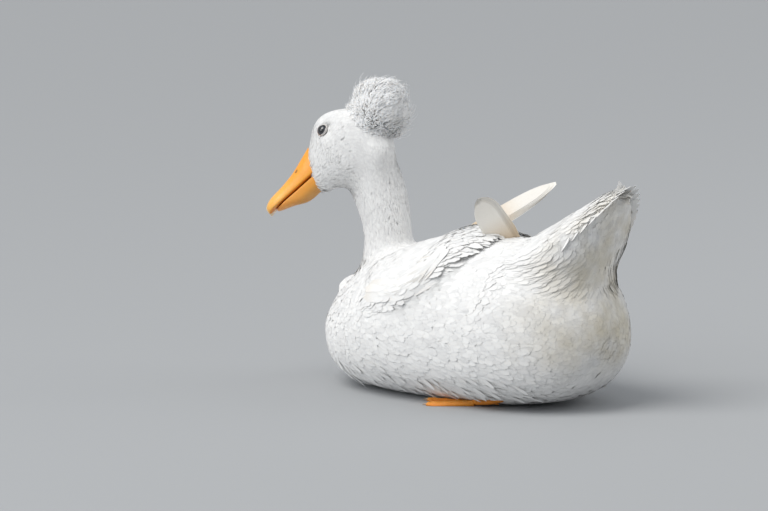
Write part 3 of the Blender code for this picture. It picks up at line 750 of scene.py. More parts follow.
def tail_weight(points, normals):
    """The tail, above and below."""
    tail = ramp(points[:, 0], *TAIL_START) * ramp(points[:, 2] - TAIL_RISE * points[:, 0], *TAIL_UNDERSIDE)
    return tail * (tail_room(points) > TAIL_END_BARE)


def body_weight(points, normals):
    """The trunk behind the breast."""
    head, _, neck = regions(points)
    rest = (1.0 - head) * (1.0 - neck) * (1.0 - tail_weight(points, normals))
    return rest * (tail_room(points) > TAIL_END_BARE) * ramp(points[:, 0], *BREAST_BORDER)


def fringe_weight(points, normals):
    """The low edge of the breast and flanks, where the feathers hang loose."""
    return between(points[:, 2], *FRINGE_HEIGHTS) * between(points[:, 0], *FRINGE_PLACES)


def wing_weight(points, normals):
    """The folded wings behind the shoulder."""
    return ramp(wing_inside(points), *COVERT_BORDER) * ramp(points[:, 0], *COVERT_START)


def upper_weight(points, normals):
    """The back, outside the wings."""
    facing_up = ramp(normals[:, 2], *FACING_UP)
    return body_weight(points, normals) * facing_up * (1.0 - wing_weight(points, normals))


def belly_weight(points, normals):
    """The underside, where the bird lies on it."""
    low = 1.0 - ramp(points[:, 2], *BELLY_HEIGHTS)
    return body_weight(points, normals) * ramp(-normals[:, 2], *FACING_DOWN) * low


def flank_weight(side):
    """One side of the trunk."""
    def weigh(points, normals):
        lower = body_weight(points, normals) * (1.0 - ramp(normals[:, 2], *FACING_UP))
        rest = lower * (1.0 - wing_weight(points, normals)) - belly_weight(points, normals)
        return np.clip(rest, 0.0, 1.0) * (points[:, 1] * side >= 0.0)
    return weigh


lay_feathers("face_feathers", face_weight, HAIR_LEAF, seed=11,
             spacing=0.00110, length=0.0042, breadth=0.0017, thickness=0.00012, jitter=8.0)
lay_feathers("crown_feathers", crown_weight, HAIR_LEAF, seed=12,
             spacing=0.00130, length=0.0074, breadth=0.0027, thickness=0.00014, jitter=8.0)
lay_feathers("neck_feathers", neck_weight, HAIR_LEAF, seed=13,
             spacing=0.0016, length=0.0115, breadth=0.0025, thickness=0.00015, jitter=6.0, standing=0.02)
for side_name, side, seed in (("left", -1.0, 14), ("right", 1.0, 27)):
    lay_feathers("breast_feathers_" + side_name, breast_weight(side), BODY_LEAF, seed,
                 spacing=0.0027, length=0.0165, breadth=0.0062, thickness=0.00014, jitter=6.0)
lay_feathers("back_feathers", upper_weight, BODY_LEAF, seed=15,
             spacing=0.0034, length=0.0220, breadth=0.0078, thickness=0.00014, jitter=5.0)
lay_feathers("wing_coverts", wing_weight, BODY_LEAF, seed=25,
             spacing=0.0040, length=0.0300, breadth=0.0090, thickness=0.00014, jitter=3.5)
lay_feathers("tail_coverts", tail_weight, BODY_LEAF, seed=19,
             spacing=0.0034, length=0.0240, breadth=0.0074, thickness=0.00012, jitter=3.0)
lay_feathers("belly_feathers", belly_weight, BODY_LEAF, seed=16,
             spacing=0.0050, length=0.0190, breadth=0.0090, thickness=0.00020, jitter=7.0)
for side_name, side, seed in (("left", -1.0, 17), ("right", 1.0, 18)):
    lay_feathers("flank_feathers_" + side_name, flank_weight(side), BODY_LEAF, seed,
                 spacing=0.0033, length=0.0230, breadth=0.0072, thickness=0.00014, jitter=5.0)
lay_feathers("loose_flank_feathers", fringe_weight, BODY_LEAF, seed=20,
             spacing=0.0060, length=0.0250, breadth=0.0050, thickness=0.00020, jitter=10.0, standing=0.20)


# Crest
# A crested duck's pom-pom: a cushion of fat and skin on the back of the skull, with long, soft feathers
# that stand up out of it, curl over and gather in small locks, with loose wisps at the edge.
CREST_FILL, CREST_OUTSIDE, CREST_BORDER = 0.94, 0.031, (0.25, 0.75)
LOCK_TRIES, LOCK_APART = 1440, math.cos(math.radians(17.0))
LOCK_SPREAD, LOCK_SWIRL, LOCK_LEAN = (0.88, 1.12), 0.40, 0.0060
SHORTEST_PLUME, STRAYING, SWINGING, GATHERING = 0.004, 0.28, (0.6, 1.3), (0.5, 1.2)
PLUME_RISE, PLUME_SWING = (1.7, -0.2, -0.5), (0.1, 1.2, -0.3)
PLUME_BREADTH, PLUME_ARCH = (0.7, 1.2), -0.10

crest_solid = node_copy("crest")
crest_tree = BVHTree.FromBMesh(crest_solid)
crest_solid.free()
AWAY_FROM_HEAD = unit(CREST_CENTRE - np.array(HEAD_CENTRE))


def crest_weight(points, normals):
    """The cushion of the crest."""
    return ramp(regions(points)[1], *CREST_BORDER)


def crest_reach(ways):
    """Distance from the crest's middle to its outside, each way."""
    centre = Vector(CREST_CENTRE)
    hits = [crest_tree.ray_cast(centre, Vector(way))[3] for way in ways.tolist()]
    return np.array([distance or CREST_OUTSIDE for distance in hits])


lock_chance = np.random.default_rng(21)
lock_ways = unit(lock_chance.normal(0.0, 1.0, (LOCK_TRIES, 3)))
lock_kept = []
for way in lock_ways:
    if all(np.dot(way, other) < LOCK_APART for other in lock_kept):
        lock_kept.append(way)
lock_ways = np.array(lock_kept)
lock_swirl = unit(np.cross(lock_ways, lock_chance.normal(0.0, 1.0, lock_ways.shape)))
lock_tips = lock_ways * (crest_reach(lock_ways) * lock_chance.uniform(*LOCK_SPREAD, len(lock_ways)))[:, None]
lock_tips += unit(along_skin(AWAY_FROM_HEAD + LOCK_SWIRL * lock_swirl, lock_ways)) * LOCK_LEAN


def lay_crest(name, form, seed, spacing, breadth, thickness, gather, curl, reach):
    """Cover the cushion with plumes that rise, curl over and run together in locks."""
    roots = scatter(crest_weight, spacing, seed)
    chance = roots["chance"]
    count = len(roots["place"])
    out = unit(roots["place"] - CREST_CENTRE)
    lock = np.argmax(out @ lock_ways.T, axis=1)
    height = crest_reach(out) * CREST_FILL - np.linalg.norm(roots["place"] - CREST_CENTRE, axis=1)
    height = np.maximum(height, SHORTEST_PLUME) * chance.uniform(reach[0], reach[1], count)
    stray = chance.normal(0.0, STRAYING, (count, 3))
    over = along_skin(AWAY_FROM_HEAD + LOCK_SWIRL * lock_swirl[lock] + stray, out)
    swing = curl * height * chance.uniform(*SWINGING, count)
    first, second, third = (
        out * (up * height)[:, None] + over * (aside * swing)[:, None]
        for up, aside in zip(PLUME_RISE, PLUME_SWING)
    )
    tip = roots["place"] + first + second + third
    drawn = (CREST_CENTRE + lock_tips[lock] - tip) * (gather * chance.uniform(*GATHERING, count))[:, None]
    second = second + drawn
    side = unit(np.cross(out, first + second) + chance.normal(0.0, 0.001, (count, 3)))
    wide = breadth * chance.uniform(*PLUME_BREADTH, count)
    thick = np.full(count, thickness)
    wrap = PLUME_ARCH * wide
    return joined_feathers(
        name, form, roots, (first, second, third), side, wide, thick, wrap, crest_plumage, "crest_feather"
    )


# The crest's white is paler than the body's to make up for the shade its fine strands cast on one another:
# painted light.
CREST_WHITE_PAINTED_LIGHT = (0.95, 0.95, 0.945)
crest_plumage = feather_material(
    "crest_plumage", CREST_WHITE_PAINTED_LIGHT, CREST_WHITE_PAINTED_LIGHT, unevenness=0.06, roughness=0.8, relief=0.2, light_through=0.7
)
PLUME_LEAF = leaf_form(
    ((0.15, 0.45), (0.40, 0.85), (0.62, 1.0), (0.82, 0.80), (1.0, 0.30)), columns=4, fray=0.05, rounded=0.04
)
WISP_LEAF = leaf_form(
    ((0.22, 0.85), (0.45, 1.0), (0.68, 0.85), (0.86, 0.55), (1.0, 0.12)), columns=2, fray=0.03, rounded=0.0
)
lay_crest("crest_plumes", PLUME_LEAF, seed=22, spacing=0.00140, breadth=0.0024, thickness=0.00012,
          gather=0.16, curl=0.8, reach=(0.70, 0.96))
lay_crest("crest_curls", WISP_LEAF, seed=23, spacing=0.00080, breadth=0.00090, thickness=0.00012,
          gather=0.32, curl=0.9, reach=(0.95, 1.22))
lay_crest("crest_wisps", WISP_LEAF, seed=26, spacing=0.00330, breadth=0.00045, thickness=0.00015,
          gather=0.30, curl=1.2, reach=(1.30, 1.85))


# Long feathers
# Flight and tail feathers have a stiff shaft with a broad vane on each side of it, slightly arched across.
# They are rooted in the flesh in rows, and each lies on the next one towards the middle of the bird.
VANE_COLUMNS = 8
VANE_ROWS = 15
SHAFT_HEIGHT, SHAFT_TAPER = 1.6, 0.6
NARROWEST, TIP_ARC = 0.04, 0.015
FRAY_START, FRAY_FULL, FRAY_LOW = 0.3, 0.9, 0.25
STRIP_HALF, STRIP_MARGIN = 0.42, 0.02


def vane_form(base_share, widest_at, tip_roundness, fray):
    """A long feather's two sides as a closed sheet with a raised shaft, from its root to its rounded tip."""
    along, across, height, frayed, faces, facing = [0.0], [0.0], [0.0], [0.0], [], []
    grids = {1.0: [], -1.0: []}
    for number in range(1, VANE_ROWS + 1):
        t = math.sin(0.5 * math.pi * number / VANE_ROWS)
        body = base_share + (1.0 - base_share) * min(1.0, t / widest_at)
        in_tip = max(0.0, (t - 1.0 + tip_roundness) / tip_roundness)
        half_width = body * math.sqrt(max(1.0 - in_tip**2, NARROWEST))
        last = number == VANE_ROWS
        for face in (1.0, -1.0):
            row = []
            for column in range(VANE_COLUMNS + 1):
                v = -1.0 + 2.0 * column / VANE_COLUMNS
                if face < 0 and (last or column in (0, VANE_COLUMNS)):
                    row.append(grids[1.0][number - 1][column])
                    continue
                middle = column == VANE_COLUMNS // 2 and not last
                shaft = SHAFT_HEIGHT * (1.0 - SHAFT_TAPER * t) if middle else 0.0
                row.append(len(along))
                along.append(t - TIP_ARC * v * v * last)
                across.append(v * half_width)
                height.append(face * (0.5 * (1.0 - v * v) * (not last) + shaft * (face > 0)))
                frayed.append(fray * (1.0 if t > FRAY_FULL else FRAY_LOW) * (column % 2) * (t > FRAY_START))
            grids[face].append(row)
    for face in (1.0, -1.0):
        rows = grids[face]
        made = [(0, rows[0][column], rows[0][column + 1]) for column in range(VANE_COLUMNS)]
        for row, following in zip(rows, rows[1:]):
            for column in range(VANE_COLUMNS):
                made.append((row[column], following[column], following[column + 1], row[column + 1]))
        faces += made if face > 0 else [tuple(reversed(corners)) for corners in made]
        facing += [face] * len(made)
    return {
        "along": np.array(along),
        "across": np.array(across),
        "height": np.array(height),
        "fray": np.array(frayed),
        "faces": faces,
        "facing": facing,
    }


def through(points):
    """A cubic spine through four points, one third of the way apart, as its three parts."""
    start, near, far, end = points
    first = -5.5 * start + 9.0 * near - 4.5 * far + end
    second = 9.0 * start - 22.5 * near + 18.0 * far - 4.5 * end
    third = -4.5 * start + 13.5 * near - 13.5 * far + 4.5 * end
    return first, second, third


def lay_long(name, form, spines, sides, widths, seed, thickness, arch, material, slot, *replaced):
    """Make a set of long feathers from their four-point spines."""
    starts = np.array([spine[0] for spine in spines])
    parts = [through([np.array(point) for point in spine]) for spine in spines]
    spine = tuple(np.array([part[k] for part in parts]) for k in range(3))
    way = unit(spine[0] + spine[1] + spine[2])
    side = unit(np.array(sides) - way * np.sum(np.array(sides) * way, axis=1)[:, None])
    normal = unit(np.cross(way, side))
    count = len(starts)
    roots = {"place": starts, "normal": normal, "patch": np.full((count, 2), 0.5),
             "chance": np.random.default_rng(seed)}
    widths = np.array(widths)
    thick = np.full(count, thickness)
    piece = joined_feathers(name, form, roots, spine, side, widths, thick, -arch * widths,
                            material, slot, *replaced, softness=0.0)
    size = len(form["along"])
    mesh = piece.data
    store_values(mesh, "along", np.tile(form["along"], count))
    number = np.repeat(np.arange(count), size)
    strip = np.stack([(number + 0.5 + STRIP_HALF * np.tile(form["across"], count)) / count,
                      STRIP_MARGIN + (1.0 - 2.0 * STRIP_MARGIN) * np.tile(form["along"], count)], axis=1)
    corners = np.empty(len(mesh.loops), dtype=np.int32)
    mesh.loops.foreach_get("vertex_index", corners)
    mesh.uv_layers["OFBake"].data.foreach_set("uv", strip[corners].astype(np.float32).ravel())


def flight_material(name, tip, base, base_places):
    """Long feathers: one colour at the tip, a deeper one towards the base, which on the cream wing tips is
    painted shade.
    """
    made = feather_material(name, tip, base, unevenness=0.25, roughness=0.55, relief=0.5)
    tree = made.node_tree
    surface = tree.nodes["Principled BSDF"]
    near_base, from_base = base_places
    towards_base = add_ramp(tree, read_attribute(tree, "along"), from_base, near_base)
    tinted = surface.inputs["Base Color"].links[0].from_socket
    colour = add_mix(tree, towards_base, (1.0, 1.0, 1.0, 1.0), (*base, 1.0))
    tree.links.new(add_mix(tree, 1.0, tinted, colour, "MULTIPLY"), surface.inputs["Base Color"])
    return made


# Wing tips
# The primaries of both wings stick up over the rump and cross there, the left wing's behind the right's.
# Each wing tip is six cream feathers in a close stack, the left one pointed and the right one rounded.
WING_TIP_FEATHERS, LONGEST_PLACE = 6, 0.1
FLIGHT_LAYER, FLIGHT_BOW, FLIGHT_THICKNESS, FLIGHT_ARCH = 0.0007, 0.0012, 0.0004, 0.04
ROOT_SPREAD, TIP_SPREAD = 1.2, 0.5
pointed_vane = vane_form(base_share=0.55, widest_at=0.35, tip_roundness=0.42, fray=0.006)
round_vane = vane_form(base_share=0.50, widest_at=0.40, tip_roundness=0.24, fray=0.006)
# The cream wing tips go tan towards their roots: painted shade.
flight_cream_painted_root_shade = flight_material("flight_cream_painted_root_shade", (0.89, 0.86, 0.80), (0.80, 0.66, 0.50), (0.25, 0.75))
WING_TIPS = {
    "primaries_left": {
        "root": Vector((-0.012, -0.012, 0.153)), "tip": Vector((0.074, 0.035, 0.215)),
        "broad": Vector((-0.45, 0.35, 0.80)), "breadth": 0.0105, "width": 0.0150, "stagger": 0.0085,
        "form": pointed_vane, "seed": 31,
    },
    "primaries_right": {
        "root": Vector((0.044, 0.013, 0.138)), "tip": Vector((0.0375, -0.0435, 0.2045)),
        "broad": Vector((0.586, 0.609, 0.528)), "breadth": 0.0160, "width": 0.0235, "stagger": 0.0030,
        "form": round_vane, "seed": 32,
    },
}

for name, wing_tip in WING_TIPS.items():
    way = (wing_tip["tip"] - wing_tip["root"]).normalized()
    broad = (wing_tip["broad"] - way * wing_tip["broad"].dot(way)).normalized()
    outward = way.cross(broad)
    bow = outward * FLIGHT_BOW
    spines = []
    for k in range(WING_TIP_FEATHERS):
        share = k / (WING_TIP_FEATHERS - 1) - 0.5
        spare = wing_tip["breadth"] - 0.5 * wing_tip["width"]
        shift = broad * share * 2.0 * spare
        back = way * abs(share - LONGEST_PLACE) * wing_tip["stagger"] * 2.0
        layer = outward * (k - 0.5 * (WING_TIP_FEATHERS - 1)) * FLIGHT_LAYER
        start = wing_tip["root"] + shift * ROOT_SPREAD + layer
        end = wing_tip["tip"] + shift * TIP_SPREAD - back + layer
        spines.append([start, start.lerp(end, 1 / 3) + bow, start.lerp(end, 2 / 3) + bow, end])
    lay_long(name + "_feathers", wing_tip["form"], spines, [broad] * WING_TIP_FEATHERS,
             [wing_tip["width"]] * WING_TIP_FEATHERS, wing_tip["seed"], FLIGHT_THICKNESS, FLIGHT_ARCH,
             flight_cream_painted_root_shade, "flight_feather", name)


# Wing coverts and secondaries
# The folded wings lie over the back and sides like a mantle, with their feathers running up and back.
# Rows of coverts cover them, and the longer secondaries and tertials end in a free rear edge over the rump.
WING_EDGE = (
    (-0.052, 0.0955, 0.1000), (-0.030, 0.0990, 0.1030), (-0.003, 0.0980, 0.1100), (0.024, 0.0850, 0.1290),
    (0.0305, 0.0640, 0.1440), (0.034, 0.0450, 0.1575), (0.036, 0.0220, 0.1660), (0.036, 0.0030, 0.1690),
)
EDGE_TRACKS, TRACK_STEP, TRACK_FEATHERS = 4, 0.0055, 8
TRACK_END = 0.118
SECONDARY_LENGTH, SECONDARY_WIDTH, WIDTH_SPREAD = 0.048, 0.0100, (0.92, 1.08)
SECONDARY_LIFTS = (-0.0010, 0.0019, 0.0029, 0.0031)
TRACK_LIFT, TRACK_JITTER, EDGE_PROBE = 0.0004, (-0.003, 0.003), 0.02
TRACK_LEAN, TRACK_INSET = 0.06, 0.002
REAR_FEATHERS, REAR_START, REAR_LENGTH = 16, 0.095, 0.036
REAR_LIFTS = (-0.0022, 0.0004, 0.0018, 0.0022)
REAR_WAY, REAR_INSET = (1.0, 0.22, 0.28), (0.001, 0.006)
white_flight = flight_material("white_flight", WHITE_FEATHER, (0.95, 0.92, 0.88), (0.3, 0.8))


def on_skin(point, lift):
    """The nearest place on the skin, lifted off it, and the way out of the skin there."""
    found, normal, _, _ = skin_tree.find_nearest(Vector(point))
    return found + normal * lift, normal


def skin_spine(end, heading, length, lifts):
    """Four points of a spine that follows the skin back from a feather's tip, and its sideways direction."""
    points, outs = [], []
    for share, lift in zip((0.0, 1 / 3, 2 / 3, 1.0), lifts):
        place, normal = on_skin(np.array(end) - np.array(heading) * length * (1.0 - share), lift)
        points.append(place)
        outs.append(normal)
    return points, (outs[2] + outs[3]).cross(Vector(heading))


for side_name, y_side in (("left", -1.0), ("right", 1.0)):
    edge_points = np.array([(x, y_side * y, z) for x, y, z in WING_EDGE])
    runs = np.concatenate([[0.0], np.cumsum(np.linalg.norm(np.diff(edge_points, axis=0), axis=1))])
    chance = np.random.default_rng(41)

    def edge_at(run):
        """A place on the wing's free edge, at a distance along it."""
        return np.array([np.interp(run, runs, edge_points[:, axis]) for axis in range(3)])

    spines, sides, widths = [], [], []
    for track in range(EDGE_TRACKS):
        for k in range(TRACK_FEATHERS):
            run = TRACK_END * (k + 1.0 + 0.5 * (track % 2)) / (TRACK_FEATHERS + 0.5)
            run += chance.uniform(*TRACK_JITTER)
            along_edge = unit((edge_at(run) - edge_at(run - EDGE_PROBE))[None, :])[0]
            out = np.array(on_skin(edge_at(run), 0.0)[1])
            inward = np.cross(out, along_edge)
            inward *= np.sign(inward[2] - inward[0])
            heading = unit((along_edge - TRACK_LEAN * inward)[None, :])[0]
            end = edge_at(run) + inward * (TRACK_INSET + TRACK_STEP * track)
            lifts = [lift + TRACK_LIFT * track for lift in SECONDARY_LIFTS]
            spine, sideways = skin_spine(end, heading, SECONDARY_LENGTH, lifts)
            spines.append(spine)
            sides.append(sideways)
            widths.append(SECONDARY_WIDTH * chance.uniform(*WIDTH_SPREAD))
    heading = unit(np.array([REAR_WAY]) * (1.0, -y_side, 1.0))[0]
    for run in np.linspace(REAR_START, runs[-1], REAR_FEATHERS):
        end = edge_at(run) - heading * chance.uniform(*REAR_INSET)
        spine, sideways = skin_spine(end, heading, REAR_LENGTH, REAR_LIFTS)
        spines.append(spine)
        sides.append(sideways)
        widths.append(SECONDARY_WIDTH * chance.uniform(*WIDTH_SPREAD))
    lay_long("wing_feathers_" + side_name, round_vane, spines, sides, widths, seed=44, thickness=0.0003,
             arch=0.03, material=white_flight, slot="body_feather")


# Chest tuft
# A few breast feathers have slipped out of place and stick out below the front of the neck.
# They are ordinary contour feathers, rooted close together in the skin and fanned a little.
TUFT_FEATHERS, TUFT_WIDTH = 12, 0.0050
TUFT_ROOT, TUFT_SPREAD = np.array((-0.1340, -0.0400, 0.1165)), 0.0030
TUFT_WAY, TUFT_UNEVENNESS = np.array((-0.0066, -0.0088, -0.0160)), 0.0012
TUFT_FACE = Vector((0.45, -0.75, 0.50))
TUFT_LENGTHS, TUFT_WIDTHS = (0.75, 1.05), (0.8, 1.1)
TUFT_LIFTS = (0.0004, 0.0020, 0.0022, 0.0024)

chance = np.random.default_rng(24)
spines, sides, widths = [], [], []
for k in range(TUFT_FEATHERS):
    root, out = on_skin(TUFT_ROOT + chance.uniform(-1.0, 1.0, 3) * TUFT_SPREAD, TUFT_LIFTS[0])
    way = Vector(TUFT_WAY * chance.uniform(*TUFT_LENGTHS) + chance.normal(0.0, TUFT_UNEVENNESS, 3))
    end = root + way + out * TUFT_LIFTS[3]
    near = root.lerp(end, 1 / 3) + out * TUFT_LIFTS[1]
    far = root.lerp(end, 2 / 3) + out * TUFT_LIFTS[2]
    spines.append([root, near, far, end])
    sides.append(TUFT_FACE.cross(way))
    widths.append(TUFT_WIDTH * chance.uniform(*TUFT_WIDTHS))
lay_long("chest_tuft", round_vane, spines, sides, widths, seed=24, thickness=0.0002,
         arch=0.04, material=white_plumage, slot="body_feather")


# Tail
# Eighteen stiff tail feathers in a raised, tented fan: the middle pair lies on top, the outer ones under it.
# Long coverts cover their bases above and below.
TAIL_PAIRS, TAIL_FEATHER_WIDTH = 9, 0.0135
TAIL_ROOT_PLACE = Vector((0.078, 0.0, 0.142))
MIDDLE_TIP, TIP_SPAN, TIP_BEND = (0.1955, 0.004, 0.2265), (-0.040, 0.045, -0.050), (1.5, 0.9, 1.2)
MIDDLE_ROOT, ROOT_SPAN = (0.0, 0.004, 0.0), (0.0, 0.026, -0.010)
PAIR_DROP, TAIL_BOW, BOW_LOSS, OUTER_BOW = 0.0008, 0.0035, 0.0007, 1.2
MIDDLE_TILT, TILT_SPAN = 12.0, 44.0
spines, sides, widths = [], [], []
for pair in range(TAIL_PAIRS):
    t = pair / (TAIL_PAIRS - 1)
    tip = [middle + span * t**power for middle, span, power in zip(MIDDLE_TIP, TIP_SPAN, TIP_BEND)]
    root = [middle + span * t for middle, span in zip(MIDDLE_ROOT, ROOT_SPAN)]
    lift = Vector((0.0, 0.0, TAIL_BOW - BOW_LOSS * pair))
    tilt = math.radians(MIDDLE_TILT + TILT_SPAN * t)
    for y_side in (-1.0, 1.0):
        end = Vector((tip[0], y_side * tip[1], tip[2]))
        start = TAIL_ROOT_PLACE + Vector((root[0], y_side * root[1], root[2] - PAIR_DROP * pair))
        spines.append([start, start.lerp(end, 1 / 3) + lift, start.lerp(end, 2 / 3) + lift * OUTER_BOW, end])
        sides.append(Vector((0.0, math.cos(tilt), -y_side * math.sin(tilt))))
        widths.append(TAIL_FEATHER_WIDTH)
lay_long("tail_feathers", round_vane, spines, sides, widths, seed=51, thickness=0.0004,
         arch=0.05, material=white_flight, slot="body_feather")


# Bill
# A horny bill over bone: an upper half with a ridge, nostrils and a hard nail at its tip, and a thinner
# lower half between two rami. Both are lofted along the bill's own length, in the head's axes.
BILL_ROOT, BILL_TIP, BILL_LOWER_TIP = 0.026, 0.1015, 0.0925
BILL_LINE = -0.0035
BILL_NAIL_DROP = 0.0022
BILL_GAP = 0.0003
BILL_RINGS, BILL_SIDES = 84, 64
BILL_TIP_LENGTH, BILL_TIP_THINNESS = 0.016, 0.35
BILL_UPPER_SIZES = (
    (0.026, 0.0100, 0.0215, -0.0015, BILL_LINE),
    (0.040, 0.0118, 0.0172, -0.0015, BILL_LINE),
    (0.055, 0.0112, 0.0128, -0.0012, BILL_LINE),
    (0.070, 0.0118, 0.0103, -0.0010, BILL_LINE),
    (0.086, 0.0138, 0.0090, -0.0012, BILL_LINE),
    (0.094, 0.0140, 0.0084, -0.0012, BILL_LINE),
    (0.1015, 0.0138, 0.0076, -0.0014, BILL_LINE - BILL_NAIL_DROP),
)
BILL_LOWER_SIZES = (
    (0.026, 0.0094, BILL_LINE - BILL_GAP, -0.0060, -0.0190),
    (0.045, 0.0108, BILL_LINE - BILL_GAP, -0.0058, -0.0206),
    (0.062, 0.0106, BILL_LINE - BILL_GAP, -0.0054, -0.0198),
    (0.078, 0.0116, BILL_LINE - BILL_GAP, -0.0050, -0.0125),
    (0.0925, 0.0122, BILL_LINE - BILL_GAP, -0.0048, -0.0082),
)
BILL_ROUNDNESS = {"upper": 2.0, "lower": 2.2}
RING_START, RING_END = 0.3, 0.4
NOSTRIL = {"place": 0.0500, "height": 0.0098, "slope": -0.16, "length": 0.0034, "width": 0.0014,
           "depth": 0.0012, "edge": (0.25, 1.1), "rim": 0.00025, "rim_place": 1.7, "rim_width": 0.5,
           "dark": (0.2, 0.8)}
MIDDLE_STRIP, BILL_TOP, BILL_UNDERSIDE, SEAM_EDGE = 0.002, 0.004, -0.006, 0.0005
GROOVE = {"height": 0.0019, "width": 0.0007, "depth": 0.00045, "reach": (0.034, 0.050, 0.086, 0.092)}
SHOULDER = {"side": 0.0046, "width": 0.0013, "depth": 0.0003, "reach": (0.036, 0.048, 0.080, 0.090)}
ROOT_KNOB = {"place": 0.036, "length": 0.004, "width": 0.006, "height": 0.0004}
JAW_FURROW = {"width": 0.0042, "depth": 0.0021, "reach": (0.034, 0.048, 0.074, 0.088)}
JAW_EDGE = {"height": -0.0085, "width": 0.0010, "depth": 0.00035, "reach": (0.036, 0.050, 0.078, 0.088)}
NAIL_START, NAIL_HALF_WIDTH, NAIL_EDGE = 0.0925, 0.0068, (0.82, 1.02)
NAIL_RISE, NAIL_RIM, LOWER_NAIL_RISE = 0.00055, 0.00030, 0.0002


def sizes_at(rows, place):
    """Read the sizes at one place from rows of (place, size, ...), on smooth curves through the rows."""
    last = len(rows) - 1
    index = 0
    while index < last - 1 and place > rows[index + 1][0]:
        index += 1
    near, far = np.array(rows[index]), np.array(rows[index + 1])
    before, after = np.array(rows[max(index - 1, 0)]), np.array(rows[min(index + 2, last)])
    span = far[0] - near[0]
    t = min(max((place - near[0]) / span, 0.0), 1.0)
    slope_near = (far - before) / (far[0] - before[0]) * span
    slope_far = (after - near) / (after[0] - near[0]) * span
    value = (2 * t**3 - 3 * t**2 + 1) * near + (t**3 - 2 * t**2 + t) * slope_near
    return (value + (3 * t**2 - 2 * t**3) * far + (t**3 - t**2) * slope_far)[1:]


def rounding(distance, length):
    """Shrink a section towards the end of its piece, so that the end is a dome."""
    left = max(0.0, 1.0 - distance / length)
    return math.sqrt(max(0.0, 1.0 - left * left))


def bill_half(rows, tip, upper):
    """Points of one half of the bill in the head's axes, ring by ring, with each ring's place and height."""
    points = []
    for ring in range(BILL_RINGS):
        quarter = 0.5 * math.pi * (ring + RING_START) / (BILL_RINGS - RING_END)
        s = BILL_ROOT + (tip - BILL_ROOT) * math.sin(quarter)
        half_width, top, widest, bottom = sizes_at(rows, s)
        round_off = rounding(tip - s, BILL_TIP_LENGTH)
        thinning = BILL_TIP_THINNESS + (1.0 - BILL_TIP_THINNESS) * round_off
        rise, drop = top - widest, widest - bottom
        rise, drop = (rise * thinning, drop) if upper else (rise, drop * thinning)
        for side in range(BILL_SIDES):
            angle = math.tau * side / BILL_SIDES
            across, height = math.cos(angle), math.sin(angle)
            power, reach = (BILL_ROUNDNESS["upper"], rise) if height > 0 else (BILL_ROUNDNESS["lower"], drop)
            y = math.copysign(abs(across) ** (2 / power), across) * half_width * round_off
            z = widest + math.copysign(abs(height) ** (2 / power), height) * reach
            points.append((s, y, z))
    return np.array(points)


def bell(value, middle, spread):
    """A smooth bump of height 1 around a middle value."""
    return np.exp(-(((value - middle) / spread) ** 2))


def nostril_distance(points):
    """How far each point lies from the middle of a nostril, which is an oval of size 1."""
    height = NOSTRIL["height"] + NOSTRIL["slope"] * (points[:, 0] - NOSTRIL["place"])
    along = (points[:, 0] - NOSTRIL["place"]) / NOSTRIL["length"]
    return along**2 + ((points[:, 2] - height) / NOSTRIL["width"]) ** 2


def upper_relief(points):
    """The upper half's side groove, nostrils, ridged shoulders, knob at the root and nail."""
    s, y, z = points.T
    groove = bell(z, BILL_LINE + GROOVE["height"], GROOVE["width"]) * (z > BILL_LINE + SEAM_EDGE)
    push = -GROOVE["depth"] * groove * between(s, *GROOVE["reach"])
    off, aside = nostril_distance(points), np.abs(y) > MIDDLE_STRIP
    push -= NOSTRIL["depth"] * (1.0 - ramp(off, *NOSTRIL["edge"])) * aside
    push += NOSTRIL["rim"] * bell(off, NOSTRIL["rim_place"], NOSTRIL["rim_width"]) * aside
    shoulder = bell(np.abs(y), SHOULDER["side"], SHOULDER["width"]) * (z > BILL_TOP)
    push -= SHOULDER["depth"] * shoulder * between(s, *SHOULDER["reach"])
    knob = bell(s, ROOT_KNOB["place"], ROOT_KNOB["length"]) * bell(y, 0.0, ROOT_KNOB["width"])
    knob *= z > BILL_TOP
    nail = nail_share(points)
    return push + ROOT_KNOB["height"] * knob + NAIL_RISE * nail - NAIL_RIM * bell(nail, 0.5, NAIL_RIM_WIDTH)


def lower_relief(points):
    """The lower half's furrow between the rami, its side groove and its small nail."""
    s, y, z = points.T
    furrow = bell(y, 0.0, JAW_FURROW["width"]) * (z < BILL_UNDERSIDE) * between(s, *JAW_FURROW["reach"])
    edge = bell(z, JAW_EDGE["height"], JAW_EDGE["width"]) * between(s, *JAW_EDGE["reach"])
    return LOWER_NAIL_RISE * nail_share(points) - JAW_FURROW["depth"] * furrow - JAW_EDGE["depth"] * edge


NAIL_RIM_WIDTH = 0.22


def nail_share(points):
    """The hard nail at the bill's tip, from 0 to 1."""
    s, y, _ = points.T
    reach = np.sqrt(((s - BILL_TIP) / (BILL_TIP - NAIL_START)) ** 2 + (y / NAIL_HALF_WIDTH) ** 2)
    return 1.0 - ramp(reach, *NAIL_EDGE)


